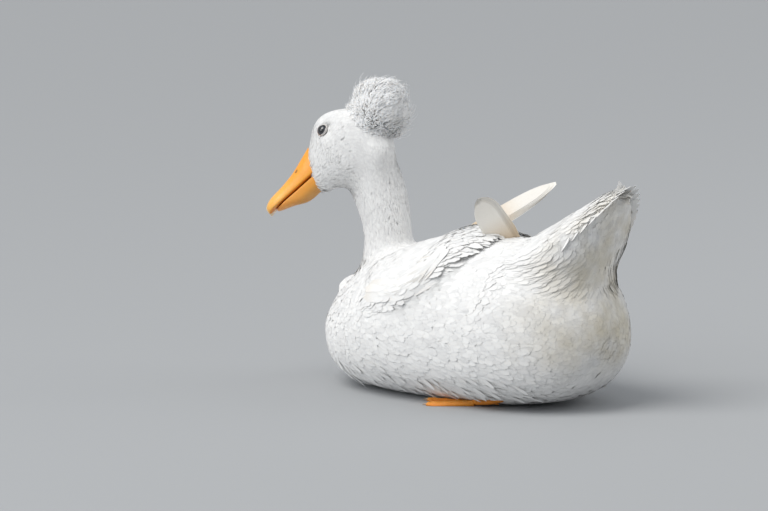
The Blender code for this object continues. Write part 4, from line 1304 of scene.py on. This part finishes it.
def make_bill(name, rows, tip, upper, material, node):
    """One half of the bill as a closed loft with its relief, in the model's own place."""
    points = bill_half(rows, tip, upper)
    work = bmesh.new()
    made = [work.verts.new(point) for point in points]
    grid = [made[ring * BILL_SIDES:(ring + 1) * BILL_SIDES] for ring in range(BILL_RINGS)]
    for ring, following in zip(grid, grid[1:]):
        for side in range(BILL_SIDES):
            after = (side + 1) % BILL_SIDES
            work.faces.new((ring[side], ring[after], following[after], following[side]))
    for ring, s in ((grid[0], BILL_ROOT), (grid[-1], tip)):
        middle = work.verts.new((s, 0.0, sizes_at(rows, s)[2]))
        for side in range(BILL_SIDES):
            work.faces.new((ring[side], ring[(side + 1) % BILL_SIDES], middle))
    bmesh.ops.recalc_face_normals(work, faces=work.faces)
    mesh = bpy.data.meshes.new(name)
    work.to_mesh(mesh)
    work.free()
    local = points_of(mesh)
    local += normals_of(mesh) * (upper_relief(local) if upper else lower_relief(local))[:, None]
    if upper:
        local[:, 2] = np.where(local[:, 0] < BILL_LOWER_TIP, np.maximum(local[:, 2], BILL_LINE), local[:, 2])
    else:
        local[:, 2] = np.minimum(local[:, 2], BILL_LINE - BILL_GAP)
    # The nostril's dark inside, over its shallow pit, is painted shade.
    nostril_shade = 1.0 - ramp(nostril_distance(local), *NOSTRIL["dark"])
    store_values(mesh, "bill_place", local[:, 0])
    store_values(mesh, "bill_height", local[:, 2])
    store_values(mesh, "nail", nail_share(local))
    store_values(mesh, "nostril", nostril_shade * (np.abs(local[:, 1]) > MIDDLE_STRIP) * upper)
    mesh.transform(head_axes)
    mesh.shade_smooth()
    place_piece(new_object(name, mesh), material, "bill_horn", node)


PALER_PLACES, MOTTLE, SKIN_MOTTLE = (0.045, 0.098), (0.40, 0.72), (0.96, 0.78, 0.50, 1.0)
# The nostril colour is painted shade.
NAIL_COLOUR, NOSTRIL_SHADE_COLOUR = (0.86, 0.74, 0.50, 1.0), (0.10, 0.035, 0.012, 1.0)
HORN_SURFACE = {
    "Subsurface Weight": 0.12,
    "Subsurface Radius": (0.003, 0.0012, 0.0004),
    "Coat Weight": 0.12,
    "Coat Roughness": 0.25,
}


MOTTLE_SCALE, MOTTLE_SHARE, NAIL_SHARE, NOSTRIL_SHARE = 190.0, 0.35, 0.85, 0.92
HORN_ROUGHNESS, WEAR, HORN_GRAIN, GRAIN_HEIGHT = 0.30, 0.18, 900.0, 0.00015


def bill_material(name, base, tip, low, painted_shade_heights):
    """Waxy orange horn: paler towards the tip, with a cream nail, painted shade darkening and dulling the
    low parts, and painted shade in the nostrils.
    """
    made, _, links, surface = new_material(name)
    tree = made.node_tree
    place = object_place(tree)
    paler = add_ramp(tree, read_attribute(tree, "bill_place"), *PALER_PLACES)
    colour = add_mix(tree, paler, (*base, 1.0), (*tip, 1.0))
    # Painted shade: the colour darkens towards the low edge of each half.
    painted_shade_share = add_ramp(tree, read_attribute(tree, "bill_height"), *painted_shade_heights)
    colour = add_mix(tree, painted_shade_share, colour, (*low, 1.0))
    mottle = add_noise(tree, place, MOTTLE_SCALE, 4.0)
    spots = add_maths(tree, "MULTIPLY", add_ramp(tree, mottle, *MOTTLE), MOTTLE_SHARE)
    colour = add_mix(tree, spots, colour, SKIN_MOTTLE, "MULTIPLY")
    nail = add_maths(tree, "MULTIPLY", read_attribute(tree, "nail"), NAIL_SHARE)
    colour = add_mix(tree, nail, colour, NAIL_COLOUR)
    # Painted shade in the nostrils.
    nostril_shade = add_maths(tree, "MULTIPLY", read_attribute(tree, "nostril"), NOSTRIL_SHARE)
    colour = add_mix(tree, nostril_shade, colour, NOSTRIL_SHADE_COLOUR)
    links.new(colour, surface.inputs["Base Color"])
    rough = add_maths(tree, "ADD", add_maths(tree, "MULTIPLY", mottle, WEAR), HORN_ROUGHNESS)
    links.new(rough, surface.inputs["Roughness"])
    add_relief(tree, surface, add_noise(tree, place, HORN_GRAIN, 3.0), 0.5, GRAIN_HEIGHT)
    set_values(surface, HORN_SURFACE)
    return made


# The low colours of both halves are painted shade.
upper_horn = bill_material("upper_horn", base=(0.86, 0.36, 0.035), tip=(0.90, 0.47, 0.10),
                           low=(0.74, 0.25, 0.02), painted_shade_heights=(-0.0012, -0.0032))
lower_horn = bill_material("lower_horn", base=(0.78, 0.34, 0.05), tip=(0.84, 0.36, 0.08),
                           low=(0.62, 0.30, 0.07), painted_shade_heights=(-0.010, -0.017))
make_bill("bill_upper_horn", BILL_UPPER_SIZES, BILL_TIP, True, upper_horn, "bill_upper")
make_bill("bill_lower_horn", BILL_LOWER_SIZES, BILL_LOWER_TIP, False, lower_horn, "bill_lower")


# Eyes and lids
# Glass-clear eyes with a dark blue-grey iris, each in a bare, finely wrinkled pair of lids.
# The ball sits as deep as a real one, and the lids lie close on it as a thin raised rim.
EYE_PLACE = (-0.0008, 0.0132, 0.0205)
EYE_RADIUS = 0.0068
EYE_WAY = (0.10, 0.935, 0.335)
EYE_RINGS, EYE_SIDES = 40, 48
CORNEA_BULGE, CORNEA_ANGLE, EYE_INSET = 0.0005, 0.55, 0.0002
EYE_DROOP = -0.15
PUPIL_ANGLES, IRIS_ANGLES = (25.0, 28.0), (37.0, 43.0)
PUPIL_BLACK = (0.002, 0.002, 0.003, 1.0)
IRIS_DARK, IRIS_PALE = (0.018, 0.019, 0.023, 1.0), (0.060, 0.066, 0.080, 1.0)
EYE_RIM = (0.008, 0.008, 0.010, 1.0)
LID_GREY, LID_PINK, LID_FOLD = (0.64, 0.62, 0.60, 1.0), (0.66, 0.50, 0.43, 1.0), (0.62, 0.52, 0.48, 1.0)
LID_OPENING = (0.0049, 0.0042)
LID_RIM, LID_CORNER, LID_PINCH, LID_PINK_CORNER = 0.0013, 0.75, 0.16, 0.55
LID_WRINKLE, LID_WRINKLES, LID_FURTHEST = 0.00006, 26, 0.98
LID_PROFILE = (
    (0.00, -0.0006), (0.00, 0.0005), (0.22, 0.0011), (0.55, 0.0012),
    (0.85, 0.0006), (1.10, -0.0006), (0.5, -0.0012),
)


def eye_axes(y_side):
    """An eye's middle and its own axes: out of the head, forward and up."""
    middle = head_axes @ Vector((EYE_PLACE[0], y_side * EYE_PLACE[1], EYE_PLACE[2]))
    out = (head_turned @ Vector((EYE_WAY[0], y_side * EYE_WAY[1], EYE_WAY[2]))).normalized()
    ahead = head_turned @ Vector((1.0, 0.0, EYE_DROOP))
    ahead = (ahead - out * ahead.dot(out)).normalized()
    rise = ahead.cross(out) * (1.0 if y_side < 0 else -1.0)
    if rise.z < 0:
        rise = -rise
    return np.array(middle), np.array(out), np.array(ahead), np.array(rise)


def ring_mesh(name, rows, closed_ends):
    """Join rings of points, either capped at both ends or closed on themselves."""
    work = bmesh.new()
    made = [[work.verts.new(point) for point in row] for row in rows]
    pairs = list(zip(made, made[1:])) if closed_ends else list(zip(made, made[1:] + made[:1]))
    for row, following in pairs:
        for side in range(len(row)):
            after = (side + 1) % len(row)
            work.faces.new((row[side], row[after], following[after], following[side]))
    if closed_ends:
        for row in (made[0], made[-1]):
            middle = work.verts.new(sum((vertex.co for vertex in row), Vector()) / len(row))
            for side in range(len(row)):
                work.faces.new((row[side], row[(side + 1) % len(row)], middle))
    bmesh.ops.recalc_face_normals(work, faces=work.faces)
    mesh = bpy.data.meshes.new(name)
    work.to_mesh(mesh)
    work.free()
    mesh.shade_smooth()
    return mesh


FIBRE_SCALE, EYE_ROUGHNESS, FIBRE_ROUGHNESS = 1400.0, 0.10, 0.05
eye_glass, _, links, surface = new_material("eye_glass")
tree = eye_glass.node_tree
turn = read_attribute(tree, "off_axis")
fibres = add_noise(tree, object_place(tree), FIBRE_SCALE)
iris = add_mix(tree, fibres, IRIS_DARK, IRIS_PALE)
colour = add_mix(tree, add_ramp(tree, turn, *PUPIL_ANGLES), PUPIL_BLACK, iris)
colour = add_mix(tree, add_ramp(tree, turn, *IRIS_ANGLES), colour, EYE_RIM)
links.new(colour, surface.inputs["Base Color"])
wet = add_maths(tree, "ADD", add_maths(tree, "MULTIPLY", fibres, FIBRE_ROUGHNESS), EYE_ROUGHNESS)
links.new(wet, surface.inputs["Roughness"])
set_values(surface, {"Coat Weight": 1.0, "Coat Roughness": 0.02})

FOLD_SCALE, FOLD_SHARE, FOLD_HEIGHT, LID_ROUGHNESS = 1600.0, 0.4, 0.0002, 0.55
lid_skin, _, links, surface = new_material("lid_skin")
tree = lid_skin.node_tree
folds = add_noise(tree, object_place(tree), FOLD_SCALE, 3.0)
pink = add_mix(tree, read_attribute(tree, "front_corner"), LID_GREY, LID_PINK)
colour = add_mix(tree, add_maths(tree, "MULTIPLY", folds, FOLD_SHARE), pink, LID_FOLD)
links.new(colour, surface.inputs["Base Color"])
surface.inputs["Roughness"].default_value = LID_ROUGHNESS
add_relief(tree, surface, folds, 0.6, FOLD_HEIGHT)

for side_name, y_side in (("left", 1.0), ("right", -1.0)):
    middle, out, ahead, rise = eye_axes(y_side)
    rows, turns = [], []
    for ring in range(EYE_RINGS):
        angle = math.pi * (ring + 0.5) / EYE_RINGS
        reach = EYE_RADIUS + CORNEA_BULGE * math.exp(-((angle / CORNEA_ANGLE) ** 2)) - EYE_INSET
        row = []
        for side in range(EYE_SIDES):
            round_way = math.tau * side / EYE_SIDES
            flat = ahead * math.cos(round_way) + rise * math.sin(round_way)
            row.append(middle + (out * math.cos(angle) + flat * math.sin(angle)) * reach)
            turns.append(math.degrees(angle))
        rows.append(row)
    mesh = ring_mesh("eyeball_" + side_name, rows, True)
    store_values(mesh, "off_axis", turns + [0.0, 180.0])
    place_piece(new_object("eyeball_" + side_name, mesh), eye_glass, "eye", "eye_" + side_name)

    rows, corner = [], []
    for place_out, lift in LID_PROFILE:
        row = []
        for side in range(EYE_SIDES):
            round_way = math.tau * side / EYE_SIDES
            point_y, point_x = math.sin(round_way), math.cos(round_way)
            pinch = 1.0 + LID_PINCH * max(0.0, abs(point_x) - LID_CORNER) / (1.0 - LID_CORNER)
            opening = 1.0 / math.hypot(point_x / LID_OPENING[0], point_y / LID_OPENING[1]) * pinch
            wrinkle = LID_WRINKLE * math.sin(LID_WRINKLES * round_way)
            radius = opening + LID_RIM * place_out
            depth = math.sqrt(EYE_RADIUS**2 - min(radius, EYE_RADIUS * LID_FURTHEST) ** 2)
            flat = ahead * point_x + rise * point_y
            row.append(middle + flat * radius + out * (depth + lift + wrinkle * (place_out > 0.1)))
            corner.append(max(0.0, point_x - LID_PINK_CORNER) / (1.0 - LID_PINK_CORNER))
        rows.append(row)
    mesh = ring_mesh("lids_" + side_name, rows, False)
    store_values(mesh, "front_corner", corner)
    lids = new_object("lids_" + side_name, mesh)
    rounder = lids.modifiers.new("rounder", "SUBSURF")
    rounder.levels = 1
    rounder.render_levels = 1
    place_piece(lids, lid_skin, "leg_skin")


# Legs and feet
# A duck's bare orange shanks and webbed feet, folded forward along the floor under the rear of the body.
# Toes, web and shank are smooth skin over bone, with horny scutes along their tops and a claw on each toe.
FOOT_HEEL = (0.048, 0.056)
FOOT_TURN = math.radians(8.0)
TOES = ((-27.0, 0.050), (0.0, 0.060), (27.0, 0.052))
FOOT_EDGE, HEEL_REACH, SIDE_ROUNDNESS = 32.0, 0.004, 0.006
WEB_NOTCH, WEB_HEIGHT, TOE_HEIGHT, TOE_FALL = 0.20, 0.0014, 0.0056, 0.42
TOE_HALF_WIDTH, TOE_TAPER = 0.0033, 0.0008
TOE_JOINTS, JOINT_LENGTH, JOINT_SWELL = (0.34, 0.60, 0.82), 0.045, 0.13
WEB_FOLD, WEB_FOLDS = 0.00016, 2.1
FRONT_EDGE, SIDE_EDGE, SOLE_HEIGHT = 0.05, 5.0, 0.0001
FOOT_SPOKES, FOOT_STEPS = 96, 60
SHANK_RADIUS, HOCK_RADIUS, SHANK_ENDS = 0.0045, 0.0060, (0.01, 0.98)
SHANK_START, HOCK_BEND, SHANK_END = (0.041, 0.056, 0.0050), (0.104, 0.050, 0.0100), (0.088, 0.050, 0.050)
SHANK_RINGS, SHANK_SIDES = 60, 28
TOE_SCUTES, SCUTES_START, SCUTES_SPAN, SCUTE_DEPTH, SCUTE_TILT = 22, 0.16, 0.78, 0.00012, 0.12
TOE_SCUTE, TOE_SCUTE_TAPER, SHANK_SCUTE = (0.00105, 0.0021, 0.00042), 0.0009, (0.0015, 0.0026, 0.0005)
SHANK_SCUTE_RINGS = range(3, SHANK_RINGS - 18, 2)
HIND_TOE = ((0.052, 0.052, 0.0040), (0.058, 0.047, 0.0042), (0.064, 0.043, 0.0022))
HIND_RADIUS, HIND_TAPER, HIND_SIDES = 0.0019, 0.0008, 16
CLAW_LENGTH, CLAW_RADIUS, CLAW_TAPER, CLAW_SIDES = 0.0062, 0.0011, 0.80, 14
CLAW_BACK, CLAW_HEIGHT, CLAW_RISE, CLAW_DROP, CLAW_LOWEST = 0.0030, 0.0019, 0.0006, 0.0018, 0.0002
CLAW_BASE, CLAW_TOP = 0.0005, 0.0025
SHANK_CLOSE, SHANK_SHADE, HIND_TOE_SHADE = 0.05, 0.4, 0.8
SCALE_SEAM, SCALE_HEIGHT = (0.02, 0.16), 0.00018
CREASE_COLOUR, CREASE_SHARE = (0.62, 0.42, 0.30, 1.0), 0.35
CLOUD_COLOUR, CLOUD_SHARE, CLOUD_SCALE = (0.92, 0.72, 0.55, 1.0), 0.5, 120.0


def skin_finish(name, raised, deep, scale, roughness):
    """Bare scaly skin: two oranges mixed by height, with a fine net of small scales."""
    made, nodes, links, surface = new_material(name)
    tree = made.node_tree
    place = object_place(tree)
    scales = nodes.new("ShaderNodeTexVoronoi")
    scales.feature = "DISTANCE_TO_EDGE"
    scales.inputs["Scale"].default_value = scale
    links.new(place, scales.inputs["Vector"])
    seam = add_ramp(tree, scales.outputs["Distance"], *SCALE_SEAM)
    colour = add_mix(tree, read_attribute(tree, "raised"), (*deep, 1.0), (*raised, 1.0))
    clouds = add_maths(tree, "MULTIPLY", add_noise(tree, place, CLOUD_SCALE), CLOUD_SHARE)
    colour = add_mix(tree, clouds, colour, CLOUD_COLOUR, "MULTIPLY")
    creased = add_maths(tree, "MULTIPLY", add_maths(tree, "SUBTRACT", 1.0, seam), CREASE_SHARE)
    colour = add_mix(tree, creased, colour, CREASE_COLOUR, "MULTIPLY")
    links.new(colour, surface.inputs["Base Color"])
    set_values(surface, {
        "Roughness": roughness,
        "Subsurface Weight": 0.10,
        "Subsurface Radius": (0.003, 0.0012, 0.0004),
    })
    add_relief(tree, surface, seam, 0.6, SCALE_HEIGHT)
    return made


foot_skin = skin_finish("foot_skin", (0.86, 0.36, 0.04), (0.80, 0.27, 0.03), scale=900.0, roughness=0.42)
scute_horn = skin_finish("scute_horn", (0.90, 0.46, 0.08), (0.86, 0.38, 0.05), scale=500.0, roughness=0.34)
claw_horn = skin_finish("claw_horn", (0.62, 0.47, 0.30), (0.30, 0.20, 0.12), scale=60.0, roughness=0.30)


def foot_reach(angle):
    """Length of the foot at an angle across it: longest at each toe, notched in the web between."""
    if angle <= TOES[0][0] or angle >= TOES[-1][0]:
        toe, length = TOES[0] if angle <= TOES[0][0] else TOES[-1]
        return length * (1.0 - SIDE_ROUNDNESS * (angle - toe) ** 2)
    for (low, low_length), (high, high_length) in zip(TOES, TOES[1:]):
        if low <= angle <= high:
            t = (angle - low) / (high - low)
            return (low_length + (high_length - low_length) * t) * (1.0 - WEB_NOTCH * math.sin(math.pi * t))


def foot_height(angle, t, distance):
    """Height of the foot's top: a knuckled ridge on each toe, and thin folded web between."""
    nearest = min(abs(angle - toe) for toe, _ in TOES)
    from_toe = math.radians(nearest) * distance
    ridge = math.exp(-((from_toe / (TOE_HALF_WIDTH - TOE_TAPER * t)) ** 2))
    knuckles = sum(math.exp(-(((t - joint) / JOINT_LENGTH) ** 2)) for joint in TOE_JOINTS)
    toe = TOE_HEIGHT * (1.0 - TOE_FALL * t) * (1.0 + JOINT_SWELL * knuckles)
    folds = WEB_FOLD * math.sin(WEB_FOLDS * angle) * math.sin(math.pi * t) * (1.0 - ridge)
    edge = min(1.0, (1.0 - t) / FRONT_EDGE, (FOOT_EDGE - abs(angle)) / SIDE_EDGE)
    rounded = math.sqrt(max(0.0, 1.0 - (1.0 - edge) ** 2))
    return (WEB_HEIGHT + folds + (toe - WEB_HEIGHT) * ridge) * rounded, ridge


def foot_place(side, angle, distance, height):
    """A place on a foot, from its angle and distance out from the heel."""
    turned = math.radians(angle) + FOOT_TURN
    ahead, out = math.cos(turned) * distance, math.sin(turned) * distance
    return Vector((FOOT_HEEL[0] - ahead, side * (FOOT_HEEL[1] + out), height))


def make_foot(name, side):
    """Toes and web as one closed mesh: top and sole meet at the outline."""
    tops, soles, raised = [], [], []
    for spoke in range(FOOT_SPOKES + 1):
        angle = -FOOT_EDGE + 2.0 * FOOT_EDGE * spoke / FOOT_SPOKES
        for step in range(FOOT_STEPS + 1):
            t = step / FOOT_STEPS
            distance = HEEL_REACH + (foot_reach(angle) - HEEL_REACH) * t
            height, ridge = foot_height(angle, t, distance)
            tops.append(foot_place(side, angle, distance, max(height, SOLE_HEIGHT)))
            soles.append(foot_place(side, angle, distance, SOLE_HEIGHT))
            raised.append(ridge)
    count = len(tops)
    faces, wide = [], FOOT_STEPS + 1
    for spoke in range(FOOT_SPOKES):
        for step in range(FOOT_STEPS):
            first = spoke * wide + step
            faces.append((first, first + 1, first + wide + 1, first + wide))
            faces.append((count + first, count + first + wide, count + first + wide + 1, count + first + 1))
        heel = spoke * wide
        faces.append((heel, heel + wide, count + heel + wide, count + heel))
    work = bmesh.new()
    level = work.verts.layers.float.new("raised")
    points = [work.verts.new(point) for point in tops + soles]
    for point, value in zip(points, raised + [0.0] * count):
        point[level] = value
    for corners in faces:
        work.faces.new([points[corner] for corner in corners])
    bmesh.ops.remove_doubles(work, verts=work.verts, dist=1e-6)
    bmesh.ops.recalc_face_normals(work, faces=work.faces)
    mesh = bpy.data.meshes.new(name)
    work.to_mesh(mesh)
    work.free()
    mesh.shade_smooth()
    return mesh


def tube(name, centres, radii, ups, sides):
    """A closed round tube along centres, with a radius and an upward direction for each."""
    rows = []
    for index, (centre, radius) in enumerate(zip(centres, radii)):
        way = (centres[min(index + 1, len(centres) - 1)] - centres[max(index - 1, 0)]).normalized()
        across = ups[index].cross(way).normalized()
        rise = way.cross(across)
        row = []
        for side in range(sides):
            turned = math.tau * side / sides
            row.append(centre + across * math.cos(turned) * radius + rise * math.sin(turned) * radius)
        rows.append(row)
    return ring_mesh(name, rows, True)


def bent(start, bend, end, t):
    """A place on the smooth bend from a start to an end, drawn towards a corner."""
    return start * (1.0 - t) ** 2 + bend * 2.0 * t * (1.0 - t) + end * t**2


def scute_tree():
    """Nodes that set a thin rounded plate on every point, turned and sized by the point's own values."""
    tree = bpy.data.node_groups.new("scutes", "GeometryNodeTree")
    tree.interface.new_socket("Points", in_out="INPUT", socket_type="NodeSocketGeometry")
    tree.interface.new_socket("Plate Scale", in_out="INPUT", socket_type="NodeSocketFloat")
    tree.interface.new_socket("Finish", in_out="INPUT", socket_type="NodeSocketMaterial")
    tree.interface.new_socket("Plates", in_out="OUTPUT", socket_type="NodeSocketGeometry")
    given, result = tree.nodes.new("NodeGroupInput"), tree.nodes.new("NodeGroupOutput")
    plate = tree.nodes.new("GeometryNodeMeshIcoSphere")
    plate.inputs["Radius"].default_value = 1.0
    plate.inputs["Subdivisions"].default_value = 3
    values = {}
    for attribute in ("turned", "extent"):
        values[attribute] = tree.nodes.new("GeometryNodeInputNamedAttribute")
        values[attribute].data_type = "FLOAT_VECTOR"
        values[attribute].inputs["Name"].default_value = attribute
    sized = tree.nodes.new("ShaderNodeVectorMath")
    sized.operation = "SCALE"
    tree.links.new(values["extent"].outputs["Attribute"], sized.inputs[0])
    tree.links.new(given.outputs["Plate Scale"], sized.inputs["Scale"])
    placed = tree.nodes.new("GeometryNodeInstanceOnPoints")
    tree.links.new(given.outputs["Points"], placed.inputs["Points"])
    tree.links.new(plate.outputs["Mesh"], placed.inputs["Instance"])
    to_turn = tree.nodes.new("FunctionNodeEulerToRotation")
    tree.links.new(values["turned"].outputs["Attribute"], to_turn.inputs[0])
    tree.links.new(to_turn.outputs[0], placed.inputs["Rotation"])
    tree.links.new(sized.outputs[0], placed.inputs["Scale"])
    solid = tree.nodes.new("GeometryNodeRealizeInstances")
    tree.links.new(placed.outputs["Instances"], solid.inputs["Geometry"])
    smooth = tree.nodes.new("GeometryNodeSetShadeSmooth")
    tree.links.new(solid.outputs["Geometry"], smooth.inputs["Geometry"])
    finish = tree.nodes.new("GeometryNodeSetMaterial")
    tree.links.new(smooth.outputs["Geometry"], finish.inputs["Geometry"])
    tree.links.new(given.outputs["Finish"], finish.inputs["Material"])
    tree.links.new(finish.outputs["Geometry"], result.inputs["Plates"])
    return tree


scutes = scute_tree()


def set_scutes(name, places, turns, extents):
    """Plates at the given places, made by the scute nodes and kept as a plain mesh."""
    base = bpy.data.meshes.new(name + "_points")
    base.from_pydata([tuple(place) for place in places], [], [])
    for attribute, values in (("turned", turns), ("extent", extents)):
        layer = base.attributes.new(attribute, "FLOAT_VECTOR", "POINT")
        rows = np.array([tuple(value) for value in values], dtype=np.float32)
        layer.data.foreach_set("vector", rows.ravel())
    maker = new_object(name + "_maker", base)
    nodes_on = maker.modifiers.new("scutes", "NODES")
    nodes_on.node_group = scutes
    for item in scutes.interface.items_tree:
        if item.name == "Plate Scale":
            nodes_on[item.identifier] = 1.0
        if item.name == "Finish":
            nodes_on[item.identifier] = scute_horn
    mesh = finished(maker)
    mesh.name = name
    store_values(mesh, "raised", np.ones(len(mesh.vertices)))
    return mesh


UP = Vector((0.0, 0.0, 1.0))
for side_name, side in (("left", -1.0), ("right", 1.0)):
    foot = new_object("foot_skin_" + side_name, make_foot("foot_skin_" + side_name, side))
    place_piece(foot, foot_skin, "leg_skin", "foot_" + side_name)

    start, bend, end = (Vector((x, side * y, z)) for x, y, z in (SHANK_START, HOCK_BEND, SHANK_END))
    centres, radii = [], []
    for ring in range(SHANK_RINGS):
        t = SHANK_ENDS[0] + SHANK_ENDS[1] * ring / (SHANK_RINGS - 1)
        centres.append(bent(start, bend, end, t))
        swell = SHANK_RADIUS + (HOCK_RADIUS - SHANK_RADIUS) * math.sin(math.pi * t) ** 2
        radii.append(swell * math.sqrt(max(SHANK_CLOSE, 1.0 - max(0.0, 1.0 - t / SHANK_CLOSE) ** 2)))
    inward = Vector((0.0, -side, 0.0))
    leg_mesh = tube("shank_" + side_name, centres, radii, [inward] * SHANK_RINGS, SHANK_SIDES)
    store_values(leg_mesh, "raised", np.full(len(leg_mesh.vertices), SHANK_SHADE))
    place_piece(new_object("shank_" + side_name, leg_mesh), foot_skin, "leg_skin", "leg_" + side_name)

    places, turns, extents = [], [], []
    for angle, length in TOES:
        for k in range(TOE_SCUTES):
            t = SCUTES_START + SCUTES_SPAN * k / (TOE_SCUTES - 1)
            distance = HEEL_REACH + (length - HEEL_REACH) * t
            height, _ = foot_height(angle, t, distance)
            places.append(foot_place(side, angle, distance, height - SCUTE_DEPTH))
            turns.append((0.0, SCUTE_TILT, math.pi - side * (math.radians(angle) + FOOT_TURN)))
            extents.append((TOE_SCUTE[0], TOE_SCUTE[1] - TOE_SCUTE_TAPER * t, TOE_SCUTE[2]))
    for ring in SHANK_SCUTE_RINGS:
        way = (centres[ring + 1] - centres[ring - 1]).normalized()
        rise = way.cross(inward.cross(way).normalized())
        rise = rise if rise.z > 0 else -rise
        places.append(centres[ring] + rise * radii[ring])
        turns.append(way.to_track_quat("X", "Z").to_euler())
        extents.append(SHANK_SCUTE)
    plates = new_object("scutes_" + side_name, set_scutes("scutes_" + side_name, places, turns, extents))
    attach(plates, "root")

    hind = [Vector((x, side * y, z)) for x, y, z in HIND_TOE]
    steps = np.linspace(0.0, 1.0, HIND_SIDES)
    centres = [bent(*hind, t) for t in steps]
    radii = [HIND_RADIUS - HIND_TAPER * t for t in steps]
    hind_mesh = tube("hind_toe_" + side_name, centres, radii, [UP] * HIND_SIDES, HIND_SIDES)
    store_values(hind_mesh, "raised", np.full(len(hind_mesh.vertices), HIND_TOE_SHADE))
    place_piece(new_object("hind_toe_" + side_name, hind_mesh), foot_skin, "leg_skin")

    gathered = bmesh.new()
    for angle, length in TOES:
        turned = math.radians(angle) + FOOT_TURN
        way = Vector((-math.cos(turned), side * math.sin(turned), 0.0))
        base = foot_place(side, angle, length - CLAW_BACK, CLAW_HEIGHT)
        steps = np.linspace(0.0, 1.0, CLAW_SIDES)
        centres = [base + way * CLAW_LENGTH * t + UP * (CLAW_RISE * t - CLAW_DROP * t * t) for t in steps]
        radii = [CLAW_RADIUS * (1.0 - CLAW_TAPER * t) for t in steps]
        claw = tube("claw", centres, radii, [UP] * CLAW_SIDES, CLAW_SIDES)
        gathered.from_mesh(claw)
        bpy.data.meshes.remove(claw)
    claw_mesh = bpy.data.meshes.new("claws_" + side_name)
    gathered.to_mesh(claw_mesh)
    gathered.free()
    low = points_of(claw_mesh)
    low[:, 2] = np.maximum(low[:, 2], CLAW_LOWEST)
    set_points(claw_mesh, low)
    claw_mesh.shade_smooth()
    store_values(claw_mesh, "raised", np.clip((low[:, 2] - CLAW_BASE) / (CLAW_TOP - CLAW_BASE), 0.0, 1.0))
    place_piece(new_object("claws_" + side_name, claw_mesh), claw_horn, "bill_horn")


# Studio
# A plain pale floor and soft lamps from above, as for a museum's catalogue, and the photo's own viewpoint.
# The lens is long, and looks at the bird from its left side and from a little above its back.
VIEW_AZIMUTH, VIEW_RISE = math.radians(40.0), math.radians(8.6)
VIEW_DISTANCE, FRAME_WIDTH, SENSOR = 5.0, 0.768, 36.0
BODY_MIDDLE, FRAME_LEFT, FRAME_UP = Vector((0.0, 0.0, 0.055)), 0.092, 0.0835
level_way = Vector((math.sin(VIEW_AZIMUTH), -math.cos(VIEW_AZIMUTH), 0.0))
back_way = level_way * math.cos(VIEW_RISE) + Vector((0.0, 0.0, math.sin(VIEW_RISE)))
right_way = Vector((math.cos(VIEW_AZIMUTH), math.sin(VIEW_AZIMUTH), 0.0))
up_way = back_way.cross(right_way)
aim = BODY_MIDDLE - right_way * FRAME_LEFT + up_way * FRAME_UP
camera_data = bpy.data.cameras.new("camera")
camera_data.sensor_width = SENSOR
camera_data.lens = SENSOR * VIEW_DISTANCE / FRAME_WIDTH
camera_data.clip_end = 60.0
camera = new_object("camera", camera_data)
camera.location = aim + back_way * VIEW_DISTANCE
camera.rotation_euler = back_way.to_track_quat("Z", "Y").to_euler()
bpy.context.scene.camera = camera

floor_mesh = bpy.data.meshes.new("floor")
FLOOR_HALF = 14.0
corners = [(x * FLOOR_HALF, y * FLOOR_HALF, 0.0) for x, y in ((-1, -1), (1, -1), (1, 1), (-1, 1))]
floor_mesh.from_pydata(corners, [], [(0, 1, 2, 3)])
floor_finish, _, _, surface = new_material("studio_floor")
set_values(surface, {"Base Color": (0.37, 0.38, 0.39, 1.0), "Roughness": 0.85})
floor_mesh.materials.append(floor_finish)
floor = new_object("floor", floor_mesh)


def add_light(kind, name, way, power, colour):
    """A soft light that shines against the given direction."""
    data = bpy.data.lights.new(name, kind)
    data.energy = power
    data.color = colour
    lamp = new_object(name, data)
    lamp.rotation_euler = Vector(way).to_track_quat("Z", "Y").to_euler()
    return lamp


LAMP_AIM = Vector((0.0, 0.0, 0.12))
LAMP_SIZE = 1.8
SUN_ANGLE = math.radians(38.0)
add_light("SUN", "lamp_above", (-0.12, -0.58, 0.90), 2.00, (1.0, 0.985, 0.96)).data.angle = SUN_ANGLE
for name, place, power, colour in (
    ("lamp_left", Vector((-0.9, -2.6, 1.2)), 24.0, (0.97, 0.985, 1.0)),
    ("lamp_behind", Vector((1.7, 1.6, 1.4)), 14.0, (1.0, 0.99, 0.97)),
):
    lamp = add_light("AREA", name, place - LAMP_AIM, power, colour)
    lamp.data.size = LAMP_SIZE
    lamp.location = place

world = bpy.data.worlds.new("studio_air")
world.use_nodes = True
set_values(world.node_tree.nodes["Background"], {"Color": (0.80, 0.83, 0.87, 1.0), "Strength": 0.60})
bpy.context.scene.world = world
bpy.context.scene.view_settings.view_transform = "Standard"
